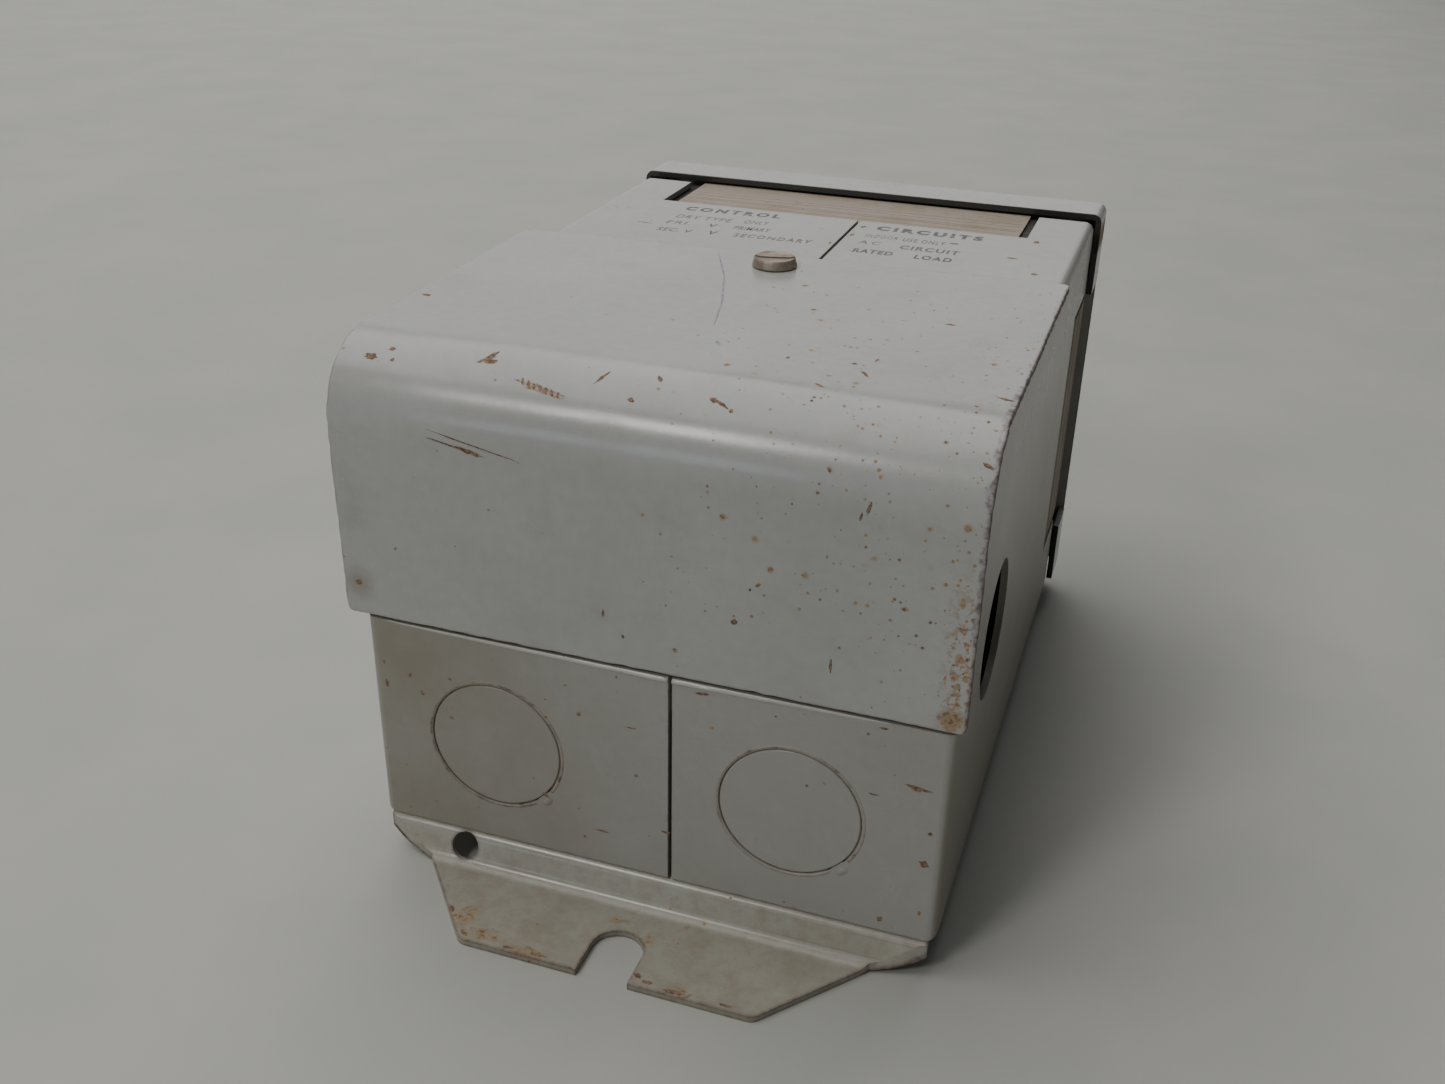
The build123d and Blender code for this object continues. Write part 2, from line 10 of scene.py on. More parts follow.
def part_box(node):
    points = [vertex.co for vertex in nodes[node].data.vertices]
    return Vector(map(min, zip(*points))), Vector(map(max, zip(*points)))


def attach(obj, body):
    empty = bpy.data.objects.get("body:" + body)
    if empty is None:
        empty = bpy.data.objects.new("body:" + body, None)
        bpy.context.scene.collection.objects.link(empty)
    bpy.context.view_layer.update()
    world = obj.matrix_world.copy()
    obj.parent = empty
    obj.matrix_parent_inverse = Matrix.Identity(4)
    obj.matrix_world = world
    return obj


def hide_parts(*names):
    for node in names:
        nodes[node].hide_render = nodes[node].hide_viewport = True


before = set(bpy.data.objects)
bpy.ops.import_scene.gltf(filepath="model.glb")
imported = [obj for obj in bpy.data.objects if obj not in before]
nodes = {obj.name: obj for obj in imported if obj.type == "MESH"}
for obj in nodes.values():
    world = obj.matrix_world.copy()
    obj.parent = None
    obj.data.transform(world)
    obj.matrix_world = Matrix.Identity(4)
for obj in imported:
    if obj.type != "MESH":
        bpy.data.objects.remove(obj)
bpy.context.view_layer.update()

# ---- places read from the frame, in metres ----
MM = 0.001
left_low, left_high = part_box("left_case_shell")
right_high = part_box("right_case_shell")[1]
cover_low, cover_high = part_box("wiring_cover")
disc_low, disc_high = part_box("knockout_side")
screw_low, screw_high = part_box("cover_screw")
board_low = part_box("terminal_board")[0]
THICK = (disc_high.x - disc_low.x) / MM              # of the sheet steel, in millimetres
MIDDLE_X = (left_low.x + right_high.x) / 2
NEAR_Y = left_low.y
FRONT_Z = left_high.z
SEED = 7


def at(x, y, z):
    """A point given in millimetres: x from the case's middle, y from its conduit end."""
    return Vector((MIDDLE_X + x * MM, NEAR_Y + y * MM, z * MM))


# ---- materials ----
class Graph:
    """A material's node tree, with short ways to add the nodes used below.

    Textures are placed in millimetres, from the object's coordinates or from a mesh's
    own "run" coordinates: x, distance along the sheet.
    """

    def __init__(self, name, run=False):
        self.material = bpy.data.materials.new(name)
        self.material.use_nodes = True
        self.tree = self.material.node_tree
        self.shader = self.tree.nodes["Principled BSDF"]
        if run:
            self.place = self.add("ShaderNodeUVMap", uv_map="run").outputs[0]
        else:
            metres = self.add("ShaderNodeTexCoord").outputs["Object"]
            scaled = self.add("ShaderNodeVectorMath", [(0, metres), ("Scale", 1000)], operation="SCALE")
            self.place = scaled.outputs[0]

    def feed(self, socket, value):
        """Sets a socket's value, or links it when the value is another socket."""
        if isinstance(value, bpy.types.NodeSocket):
            self.tree.links.new(value, socket)
        else:
            socket.default_value = value

    def add(self, kind, inputs=(), **settings):
        """Adds a node, sets its properties, and feeds (socket name or number, value) pairs."""
        node = self.tree.nodes.new(kind)
        for key, value in settings.items():
            setattr(node, key, value)
        for key, value in inputs:
            self.feed(node.inputs[key], value)
        return node

    def math(self, operation, a, b=0.0, c=0.0, clamp=False):
        node = self.add("ShaderNodeMath", operation=operation, use_clamp=clamp)
        for socket, value in zip(node.inputs, (a, b, c)):
            self.feed(socket, value)
        return node.outputs[0]

    def smooth(self, value, low, high, start=0.0, end=1.0):
        """Goes smoothly from start to end as value goes from low to high."""
        pairs = [("Value", value), ("From Min", low), ("From Max", high), ("To Min", start), ("To Max", end)]
        return self.add("ShaderNodeMapRange", pairs, interpolation_type="SMOOTHSTEP").outputs["Result"]

    def mix(self, factor, a, b, blend="MIX"):
        """Mixes two colours."""
        node = self.add("ShaderNodeMix", data_type="RGBA", blend_type=blend)
        for socket, value in zip((node.inputs[0], node.inputs[6], node.inputs[7]), (factor, a, b)):
            self.feed(socket, value)
        return node.outputs[2]

    def grey(self, value):
        return self.add("ShaderNodeCombineColor", [(0, value), (1, value), (2, value)]).outputs[0]

    def noise(self, scale, detail=3.0, where=None, roughness=0.55):
        pairs = [("Vector", where or self.place), ("Scale", scale), ("Detail", detail)]
        return self.add("ShaderNodeTexNoise", pairs + [("Roughness", roughness)]).outputs[0]

    def stretched(self, scale):
        """The coordinates scaled by a different amount along each axis."""
        return self.add("ShaderNodeMapping", [("Vector", self.place), ("Scale", scale)]).outputs[0]

    def axes(self):
        """The three coordinates, one by one."""
        return self.add("ShaderNodeSeparateXYZ", [(0, self.place)]).outputs[:]

    def ragged(self, amount=0.9, scale=1.6):
        """The coordinates pushed about, so that a round spot gets a torn outline."""
        wobble = self.add("ShaderNodeTexNoise", [("Vector", self.place), ("Scale", scale), ("Detail", 4)])
        centred = self.vector("SUBTRACT", wobble.outputs["Color"], (0.5, 0.5, 0.5))
        pushed = self.vector("MULTIPLY", centred, (amount, amount, amount))
        return self.vector("ADD", self.place, pushed)

    def vector(self, operation, a, b):
        return self.add("ShaderNodeVectorMath", [(0, a), (1, b)], operation=operation).outputs[0]

    def specks(self, scale, density, smallest=0.08, largest=0.36, torn=0.25):
        """Spots, one at most in each cell, present in a density share of the cells."""
        cells = self.add("ShaderNodeTexVoronoi", [("Vector", self.place), ("Scale", scale)])
        chance = self.add("ShaderNodeSeparateColor", [("Color", cells.outputs["Color"])])
        present = self.math("LESS_THAN", chance.outputs[0], density)
        size = self.math("MULTIPLY", chance.outputs[1], chance.outputs[2])
        radius = self.math("MULTIPLY_ADD", size, largest - smallest, smallest)
        wobble = self.math("MULTIPLY_ADD", self.noise(scale * 3.1, 3), torn, -torn / 2)
        distance = self.math("ADD", cells.outputs["Distance"], wobble)
        inside = self.smooth(distance, radius, self.math("MULTIPLY", radius, 0.45))
        return self.math("MULTIPLY", inside, present)

    def spots(self, where, places, feather=0.35):
        """Where any of a list of turned ellipses is, from 0 to 1."""
        total = 0.0
        for x, run, length, width, turn in places:
            node = self.add("ShaderNodeMapping", [("Vector", where)], vector_type="TEXTURE")
            node.inputs["Location"].default_value = (x, run, 0)
            node.inputs["Rotation"].default_value = (0, 0, math.radians(-turn))
            node.inputs["Scale"].default_value = (length, width, 1)
            far = self.add("ShaderNodeVectorMath", [(0, node.outputs[0])], operation="LENGTH")
            inside = self.smooth(far.outputs["Value"], 1.0 + feather, 1.0 - feather)
            total = self.math("MAXIMUM", total, inside)
        return total

    def near_edge(self, reach):
        """Distance from a convex edge in millimetres, up to reach, told by the Bevel node."""
        soft = self.add("ShaderNodeBevel", [("Radius", reach * MM)], samples=4).outputs[0]
        true = self.add("ShaderNodeNewGeometry").outputs["Normal"]
        agree = self.add("ShaderNodeVectorMath", [(0, soft), (1, true)], operation="DOT_PRODUCT")
        return self.smooth(agree.outputs["Value"], 0.72, 0.999, 0.0, reach)

    def bump(self, height, distance, strength=1.0, under=None):
        pairs = [("Height", height), ("Distance", distance * MM), ("Strength", strength)]
        if under is not None:
            pairs.append(("Normal", under))
        return self.add("ShaderNodeBump", pairs).outputs[0]

    def finish(self, colour, roughness, normal=None, metallic=0.0):
        self.feed(self.shader.inputs["Base Color"], colour)
        self.feed(self.shader.inputs["Roughness"], roughness)
        self.feed(self.shader.inputs["Metallic"], metallic)
        if normal is not None:
            self.feed(self.shader.inputs["Normal"], normal)
        return self.material


ENAMEL = (0.42, 0.425, 0.41, 1)
RUST_DARK = (0.085, 0.036, 0.018, 1)
RUST_ORANGE = (0.37, 0.235, 0.10, 1)
RUST_HALO = (0.36, 0.24, 0.10, 1)
# the brown below is used for films of soiling, and also for painted shade in corners, low on the right wall
# and on the ears
GRIME_AND_SHADE = (0.21, 0.18, 0.12, 1)
BARE_STEEL = (0.22, 0.18, 0.17, 1)
BARE_EDGE = (0.15, 0.105, 0.10, 1)
FLAKED_DARK = (0.15, 0.11, 0.11, 1)
FLAKED_LIGHT = (0.37, 0.345, 0.355, 1)
STAIN = (0.25, 0.17, 0.10, 1)
# a near black, painted on the end cap's near edge
NEAR_BLACK = (0.020, 0.018, 0.014, 1)


def enamel(name, base, specks=0.02, wear=0.2, reach=0.8, grime_and_shade=0.4, run=False, detail=None):
    """Grey enamel with rust specks, worn edges, and a brown film that is soiling in places and painted shade
    in corners.

    specks is the share of cells with a rust speck, wear how much of an edge is worn and
    reach how far in, in millimetres. detail is a function of the graph that returns what
    is special to a piece: any of "specks", "edge", "bare", "soot", "rust" and "grime".
    """
    g = Graph(name, run)
    own = detail(g) if detail else {}
    density = own.get("specks", specks)
    edge = own["edge"] if "edge" in own else g.near_edge(reach)
    # paint
    tone = g.smooth(g.noise(0.03, 2), 0.3, 0.7, 0.95, 1.04)
    fine = g.smooth(g.noise(0.5, 5), 0.25, 0.75, 0.965, 1.025)
    colour = g.mix(1.0, base, g.grey(g.math("MULTIPLY", tone, fine)), "MULTIPLY")
    # a thin brown film of soiling, and painted shade: the AO node darkens corners and crevices with the same
    # brown
    corner_shade = g.add("ShaderNodeAmbientOcclusion", [("Distance", 4 * MM)], samples=4)
    film = g.smooth(g.noise(0.09, 6), 0.50, 0.78, 0, 0.45)
    corner = g.smooth(corner_shade.outputs["AO"], 0.8, 0.3, 0, 0.8)
    film = g.math("MULTIPLY", g.math("MAXIMUM", film, corner), grime_and_shade, clamp=True)
    if "grime_and_shade" in own:
        film = g.math("MAXIMUM", film, own["grime_and_shade"])
    colour = g.mix(film, colour, GRIME_AND_SHADE)
    # rust specks, each with a pale halo
    small = g.specks(1.15, density, 0.15, 0.48)
    share = g.math("MULTIPLY", density, 0.7)
    large = g.specks(0.42, share, 0.09, 0.32, 0.2)
    halo = g.specks(0.42, share, 0.16, 0.48, 0.2)
    colour = g.mix(g.math("MULTIPLY", halo, 0.3), colour, RUST_HALO)
    rust = g.math("MAXIMUM", small, large)
    rust = g.math("MAXIMUM", rust, own.get("rust", 0.0))
    rust_colour = g.mix(g.smooth(g.noise(1.5, 3), 0.34, 0.54), RUST_DARK, RUST_ORANGE)
    colour = g.mix(g.math("MULTIPLY", rust, 0.85), colour, rust_colour)
    # worn edges: bare brown steel, with stained paint round it
    away = g.math("SUBTRACT", edge, g.math("MULTIPLY", g.noise(0.45, 5, None, 0.68), 2.0 * reach))
    away = g.math("ADD", away, reach * (1.32 - wear))
    worn = g.smooth(away, 0.12 * reach, -0.10 * reach)
    stained = g.smooth(away, 0.9 * reach, 0.0, 0, 0.42)
    colour = g.mix(stained, colour, STAIN)
    steel = g.mix(g.smooth(g.noise(1.3, 4), 0.36, 0.62), RUST_DARK, BARE_STEEL)
    colour = g.mix(worn, colour, steel)
    gone = g.math("MAXIMUM", worn, rust)
    if "bare" in own:
        sheared = g.mix(g.smooth(g.noise(0.8, 4), 0.36, 0.62), FLAKED_DARK, FLAKED_LIGHT)
        colour = g.mix(own["bare"], colour, sheared)
    if "blackened" in own:
        colour = g.mix(own["blackened"], colour, NEAR_BLACK)
    # a soft gloss, duller where the paint is dirty or gone
    rough = g.smooth(g.noise(0.06, 3), 0.3, 0.7, 0.21, 0.26)
    rough = g.math("ADD", rough, g.math("MULTIPLY", film, 0.25))
    rough = g.math("MAXIMUM", rough, g.math("MULTIPLY", gone, 0.78))
    normal = g.bump(g.noise(0.05, 2), 0.5, 0.2)
    normal = g.bump(g.noise(1.1, 2), 0.02, 0.5, normal)
    normal = g.bump(g.math("SUBTRACT", 1.0, gone), 0.07, 0.8, normal)
    normal = g.bump(g.math("MULTIPLY", gone, g.noise(3.0, 3)), 0.08, 0.8, normal)
    return g.finish(colour, rough, normal)


def metal(name, colour, dark, roughness=0.38, metallic=0.9, stain=0.5, grain=0.9):
    """Dull plated metal with darker stains."""
    g = Graph(name)
    stained = g.smooth(g.noise(0.25, 5), 0.42, 0.68, 0, stain)
    fine = g.smooth(g.noise(grain, 3), 0.3, 0.7, 0, 0.35)
    tint = g.mix(stained, g.mix(fine, colour, dark), dark)
    rough = g.math("MULTIPLY_ADD", stained, 0.4, roughness)
    return g.finish(tint, rough, g.bump(g.noise(grain, 3), 0.02, 0.6), metallic)


def moulded(name, colour, dark, roughness=0.6, scale=0.3, depth=0.05):
    """A moulded or pressed material with soft mottling."""
    g = Graph(name)
    tint = g.mix(g.smooth(g.noise(scale, 5), 0.35, 0.7), colour, dark)
    rough = g.smooth(g.noise(scale * 2, 3), 0.3, 0.7, roughness - 0.08, roughness + 0.08)
    return g.finish(tint, rough, g.bump(g.noise(scale * 4, 3), depth, 0.6))


def raw_edge(name):
    """The bare sheared edge of the cover's sheet: brown, streaked through its thickness."""
    g = Graph(name, True)
    streaks = g.noise(1.0, 4, g.stretched((2.4, 2.4, 0.4)))
    tint = g.mix(g.smooth(streaks, 0.35, 0.62), RUST_DARK, BARE_EDGE)
    tint = g.mix(g.smooth(g.noise(0.35, 4), 0.5, 0.7, 0, 0.8), tint, (0.30, 0.26, 0.24, 1))
    return g.finish(tint, 0.62, g.bump(streaks, 0.12, 0.8), 0.25)


def two_tone(name, pattern, limits, colours, roughness, grain=None):
    """Two colours mixed by a noise (scale, detail); grain is its bump (scale, depth, strength)."""
    g = Graph(name)
    tint = g.mix(g.smooth(g.noise(*pattern), *limits), *colours)
    normal = g.bump(g.noise(grain[0], 3), grain[1], grain[2]) if grain else None
    return g.finish(tint, roughness, normal)


# ---- mesh helpers ----
def piece(name, mesh, materials, body, stands_for=()):
    """Adds a finished mesh as a piece that rides on a body and stands for CAD nodes."""
    obj = bpy.data.objects.new(name, mesh)
    bpy.context.scene.collection.objects.link(obj)
    for material in materials:
        mesh.materials.append(material)
    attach(obj, body)
    if stands_for:
        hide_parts(*stands_for)
    return obj


def from_bmesh(bm, name, smooth=True):
    bmesh.ops.recalc_face_normals(bm, faces=bm.faces)
    mesh = bpy.data.meshes.new(name)
    bm.to_mesh(mesh)
    bm.free()
    mesh.polygons.foreach_set("use_smooth", [smooth] * len(mesh.polygons))
    return mesh


def loft(bm, rings):
    """Faces between rings of points, each one joined to the next, with a cap at both ends."""
    for ring, following in zip(rings, rings[1:]):
        for k in range(len(ring)):
            n = (k + 1) % len(ring)
            bm.faces.new([ring[k], ring[n], following[n], following[k]])
    bm.faces.new(rings[0])
    bm.faces.new(rings[-1])


def extruded(bm, faces, depth):
    """A plate made from flat faces, by moving a copy of them back by depth millimetres."""
    back = bmesh.ops.extrude_face_region(bm, geom=faces, use_keep_orig=True)
    for v in back["geom"]:
        if isinstance(v, bmesh.types.BMVert):
            v.co.y += depth * MM


def bevelled(obj, width, segments=2, angle=32):
    """Rounds an object's sharp edges and keeps its flat faces flat."""
    bevel = obj.modifiers.new("Bevel", "BEVEL")
    bevel.width = width
    bevel.segments = segments
    bevel.limit_method = "ANGLE"
    bevel.angle_limit = math.radians(angle)
    bevel.miter_outer = "MITER_ARC"
    weighted = obj.modifiers.new("WeightedNormal", "WEIGHTED_NORMAL")
    weighted.weight = 80


def soften(node, material, width, segments=2):
    """Gives a CAD node its material, and rounds its edges with modifiers."""
    obj = nodes[node]
    obj.data.materials.clear()
    obj.data.materials.append(material)
    weld = obj.modifiers.new("Weld", "WELD")
    weld.merge_threshold = 0.002 * MM
    flat = obj.modifiers.new("Decimate", "DECIMATE")
    flat.decimate_type = "DISSOLVE"
    flat.angle_limit = math.radians(1.0)
    bevelled(obj, width, segments)


# ---- the wiring cover: one folded sheet with a lip behind ----
COVER_BEND = 12.5
COVER_LEFT = (cover_low.x - MIDDLE_X) / MM
COVER_RIGHT = (cover_high.x - MIDDLE_X) / MM
COVER_TOP = cover_high.z / MM
COVER_NEAR = (cover_low.y - NEAR_Y) / MM
REAR_GAP = 0.7                  # runs are measured from this far behind the rear edge
COVER_REAR = (cover_high.y - NEAR_Y) / MM + REAR_GAP
REAR_SKEW = 3.6                 # the rear edge was sheared askew by this much
SKEW_REACH = 30.0               # and the grid of points follows it over this much of the sheet
COVER_LOWER = 45.4
FLAT_RUN = COVER_REAR - COVER_NEAR - COVER_BEND
BEND_RUN = COVER_BEND * math.pi / 2
PANEL_RUN = COVER_TOP - COVER_BEND - COVER_LOWER
COVER_RUN = FLAT_RUN + BEND_RUN + PANEL_RUN
COVER_WAVE = 0.16
COVER_CORNER = 1.2
COVER_ARRIS = 0.28
COVER_RAGGED = 0.35
RAGGED_REACH = 0.6
GRID_X = 1.6
GRID_RUN = 1.25
GRID_EDGE = (0.0, 0.04, 0.12, 0.25, 0.5, 1.0)


def cover_frame(run):
    """(y, z, outward y, outward z) of the cover's outside at a distance from its rear edge."""
    if run <= FLAT_RUN:
        return COVER_REAR - run, COVER_TOP, 0.0, 1.0
    turn = min((run - FLAT_RUN) / COVER_BEND, math.pi / 2)
    below = max(run - FLAT_RUN - BEND_RUN, 0.0)
    y = COVER_NEAR + COVER_BEND * (1 - math.sin(turn))
    z = COVER_TOP - COVER_BEND * (1 - math.cos(turn)) - below
    return y, z, -math.sin(turn), math.cos(turn)


def rear_edge(x):
    """The run at which the sheet starts there."""
    return REAR_GAP + REAR_SKEW * (COVER_RIGHT - x) / (COVER_RIGHT - COVER_LEFT)


def cover_sway(x, run):
    """How far the hand-folded sheet stands in from its true profile there, in millimetres."""
    return COVER_WAVE * (noise.noise(Vector((x, run, SEED)) * 0.055) - 0.5)


def on_cover(x, run, above):
    """A point above the cover's outside, following the sheet as it was folded."""
    y, z, ny, nz = cover_frame(run)
    above += cover_sway(x, run)
    return at(x, y + ny * above, z + nz * above)


def graded(low, high, step):
    """Values from low to high, closer together at both ends."""
    count = max(1, round((high - low - 2 * GRID_EDGE[-1]) / step))
    start, stop = low + GRID_EDGE[-1], high - GRID_EDGE[-1]
    middle = [start + (stop - start) * k / count for k in range(1, count)]
    return [low + inward for inward in GRID_EDGE] + middle + [high - inward for inward in reversed(GRID_EDGE)]


def sheet_point(x, run):
    """Where a grid point of the cover's sheet lies: (x, run), its outer and its inner place."""
    px, pr = x, run
    in_x = min(x - COVER_LEFT, COVER_RIGHT - x)
    in_rear = run - REAR_GAP
    in_run = min(in_rear, COVER_RUN - run)
    side = 1 if x > (COVER_LEFT + COVER_RIGHT) / 2 else -1
    rear = run < (REAR_GAP + COVER_RUN) / 2
    if in_x < COVER_CORNER and in_run < COVER_CORNER:
        # pull the corner of the grid in to its radius
        far = math.hypot(COVER_CORNER - in_x, COVER_CORNER - in_run)
        reach = max(COVER_CORNER - in_x, COVER_CORNER - in_run)
        scale = reach / far if far else 1.0
        px -= side * (COVER_CORNER - in_x) * (1 - scale)
        pr += (1 if rear else -1) * (COVER_CORNER - in_run) * (1 - scale)
    pr += (rear_edge(px) - REAR_GAP) * max(0.0, 1 - in_rear / SKEW_REACH)
    y, z, ny, nz = cover_frame(pr)
    edge = min(in_x, in_run)
    drop = 0.0
    if edge < COVER_ARRIS:
        drop = COVER_ARRIS - math.sqrt(COVER_ARRIS ** 2 - (COVER_ARRIS - edge) ** 2)
    jitter = 0.0
    if edge < RAGGED_REACH:
        jitter = min(0.0, COVER_RAGGED * noise.noise(Vector((px, pr, 3.1)) * 0.6))
        jitter *= 1 - edge / RAGGED_REACH
    shift = side * jitter if in_x <= in_run else 0.0
    along = 0.0 if in_x <= in_run else -jitter if rear else jitter
    y -= nz * along
    z += ny * along
    sway = cover_sway(px, pr)
    under = sway - THICK + drop * 0.4
    outer = at(px + shift, y + ny * (sway - drop), z + nz * (sway - drop))
    return (px, pr), outer, at(px + shift, y + ny * under, z + nz * under)


def folded_sheet(bm):
    """The cover's sheet, with rounded corners and arrises, ragged edges and an uneven face."""
    xs = graded(COVER_LEFT, COVER_RIGHT, GRID_X)
    runs = graded(REAR_GAP, COVER_RUN, GRID_RUN)
    layer = bm.loops.layers.uv.new("run")
    outer, inner, plan = [], [], {}
    for run in runs:
        outer.append([])
        inner.append([])
        for x in xs:
            where, top, under = sheet_point(x, run)
            outer[-1].append(bm.verts.new(top))
            inner[-1].append(bm.verts.new(under))
            plan[outer[-1][-1]] = plan[inner[-1][-1]] = where

    def face(verts, index):
        new = bm.faces.new(verts)
        new.material_index = index
        new.smooth = True
        for loop in new.loops:
            loop[layer].uv = plan[loop.vert]

    rows, columns = len(runs), len(xs)
    for r in range(rows - 1):
        for c in range(columns - 1):
            face([outer[r][c], outer[r][c + 1], outer[r + 1][c + 1], outer[r + 1][c]], 0)
            face([inner[r + 1][c], inner[r + 1][c + 1], inner[r][c + 1], inner[r][c]], 2)
    ring = [(0, c) for c in range(columns)] + [(r, columns - 1) for r in range(1, rows)]
    ring += [(rows - 1, c) for c in range(columns - 2, -1, -1)] + [(r, 0) for r in range(rows - 2, 0, -1)]
    for (r0, c0), (r1, c1) in zip(ring, ring[1:] + ring[:1]):
        face([outer[r0][c0], inner[r0][c0], inner[r1][c1], outer[r1][c1]], 1)


# chips and scratches: x, run, half length, half width, turn in degrees
DARK_MARKS = (
    (-44.9, 69.4, 1.1, 0.6, 0), (-42.2, 67.5, 0.5, 0.4, 0), (-41.3, 69.4, 0.35, 0.35, 0),
    (-27.2, 67.0, 1.5, 0.35, 35), (-26.5, 66.0, 1.4, 0.4, 55), (-26.1, 67.2, 1.1, 0.4, 15),
    (-8.7, 67.1, 1.4, 0.28, 60), (-0.4, 65.8, 0.7, 0.3, -50), (-3.3, 70.2, 0.5, 0.4, 0),
    (-30.0, 80.9, 3.6, 0.16, -10), (-27.2, 81.4, 2.3, 0.38, -12), (-26.4, 80.4, 6.6, 0.11, -11),
    (8.3, 68.2, 0.7, 0.5, -20), (9.6, 68.7, 1.4, 0.3, -25), (11.3, 69.6, 0.3, 0.3, 0),
    (33.7, 29.4, 0.8, 0.4, 0), (26.5, 55.4, 1.5, 0.3, -55), (24.1, 51.8, 0.5, 0.4, 0),
    (26.8, 49.2, 0.7, 0.25, 90), (14.5, 53.1, 0.3, 0.5, 0), (21.6, 61.9, 1.0, 0.25, -30),
    (47.0, 72.0, 0.9, 0.3, -20), (46.8, 57.7, 1.2, 0.4, -15), (17.4, 94.7, 0.5, 0.22, 40),
    (16.2, 95.7, 0.25, 0.25, 0), (14.0, 101.4, 0.5, 0.5, 0), (28.5, 105.6, 1.1, 0.22, 90),
    (32.4, 80.1, 1.0, 0.3, 80), (31.4, 81.6, 0.7, 0.2, 80), (-3.3, 107.5, 0.3, 0.3, 0),
    (-6.4, 104.2, 0.7, 0.2, 90), (-48.1, 107.1, 0.55, 0.5, 0), (-47.9, 46.6, 0.9, 0.5, 0),
)
# stretches of the thin bluish scratch
SCRATCH = (
    (-9.4, 13.1, 8.0, 0.15, -67), (-5.0, 25.1, 7.6, 0.17, -73), (-1.9, 36.0, 7.2, 0.15, -77),
    (3.1, 51.0, 1.0, 0.35, -60),
)


def cover_detail(g):
    """What is special to the cover's paint: rust thick towards its right edge, and its marks."""
    x, run, _ = g.axes()
    to_right = g.math("SUBTRACT", COVER_RIGHT, x)
    to_left = g.math("SUBTRACT", x, COVER_LEFT)
    to_lower = g.math("SUBTRACT", COVER_RUN, run)
    slope = REAR_SKEW / (COVER_RIGHT - COVER_LEFT)
    to_rear = g.math("SUBTRACT", run, g.math("MULTIPLY_ADD", to_right, slope, REAR_GAP))
    edge = g.math("MINIMUM", g.math("MINIMUM", to_right, to_left), g.math("MINIMUM", to_rear, to_lower))
    # a few specks all over, more towards the bend and the right edge
    field = g.smooth(x, -14.0, 34.0, 0.012, 0.40)
    patches = g.smooth(g.noise(0.07, 2), 0.42, 0.62, 0.35, 1.6)
    field = g.math("MULTIPLY", field, patches)
    on_top = g.smooth(run, 8.0, 40.0, 0.4, 1.0)
    on_panel = g.smooth(run, 92.0, 108.0, 1.0, 0.55)
    field = g.math("MULTIPLY", g.math("MULTIPLY", field, on_top), on_panel)
    left_strip = g.smooth(to_left, 6.0, 0.5, 0.0, 0.16)
    band = g.smooth(to_right, 9.0, 1.5)
    growth = g.smooth(run, 50.0, 92.0, 0.16, 0.9)
    column = g.math("MULTIPLY", band, growth)
    density = g.math("ADD", g.math("ADD", field, column), left_strip)
    corner = g.spots(g.ragged(1.3, 1.1), ((46.2, 110.6, 1.9, 1.7, 20),), 0.5)
    lower = g.math("MULTIPLY", g.smooth(to_right, 5.4, 1.4), g.smooth(run, 84.0, 98.0))
    lower = g.math("MULTIPLY", lower, g.smooth(g.noise(0.85, 4), 0.49, 0.56))
    stain = g.spots(g.ragged(2.0, 0.5), ((-48.1, 107.1, 2.3, 2.3, 0),), 0.9)
    # paint flaked off along the right edge, where it was sheared and bent
    torn = g.math("MULTIPLY_ADD", g.noise(0.3, 4), 3.0, -0.75)
    torn = g.math("MULTIPLY", torn, g.smooth(run, 44.0, 60.0, 0.35, 1.0))
    torn = g.math("MULTIPLY", torn, g.smooth(run, 106.0, 90.0, 0.4, 1.0))
    bare = g.smooth(g.math("SUBTRACT", to_right, torn), 0.35, -0.35, 0.0, 0.9)
    return {
        "edge": edge,
        "specks": density,
        "rust": g.math("MAXIMUM", corner, lower),
        "bare": bare,
        "grime_and_shade": g.math("MULTIPLY", stain, 0.5),
    }


cover_paint = enamel("cover_enamel_worn", ENAMEL, wear=0.42, reach=0.55, run=True, detail=cover_detail)
cover_raw = raw_edge("cover_sheared_edge")
inside_paint = enamel("inside_enamel", (0.36, 0.365, 0.35, 1), specks=0.03, wear=0.2, grime_and_shade=0.7)
bm = bmesh.new()
folded_sheet(bm)
piece("cover_sheet", from_bmesh(bm, "cover_sheet"), [cover_paint, cover_raw, inside_paint], "cover",
      ["wiring_cover"])


FLAKE_ROOT = -0.06              # how far flakes reach into their surface


def flakes(name, spots, place, material, body, height=0.022):
    """Small ragged patches that lie on a surface. place gives the surface's own points."""
    rng = random.Random(name)
    bm = bmesh.new()
    for u, v, length, width, turn in spots:
        count = 11 + int(6 * length)
        angle = math.radians(turn)
        tops, roots = [], []
        centre = bm.verts.new(place(u, v, height))
        for k in range(count):
            around = 2 * math.pi * k / count
            reach = rng.uniform(0.62, 1.22)
            a = length * reach * math.cos(around)
            b = width * reach * math.sin(around)
            pu = u + a * math.cos(angle) + b * math.sin(angle)
            pv = v - a * math.sin(angle) + b * math.cos(angle)
            tops.append(bm.verts.new(place(pu, pv, 0.75 * height)))
            roots.append(bm.verts.new(place(pu, pv, FLAKE_ROOT)))
        under = bm.verts.new(place(u, v, FLAKE_ROOT))
        for k in range(count):
            n = (k + 1) % count
            bm.faces.new([centre, tops[k], tops[n]])
            bm.faces.new([tops[k], roots[k], roots[n], tops[n]])
            bm.faces.new([under, roots[n], roots[k]])
    piece(name, from_bmesh(bm, name, False), [material], body, ())


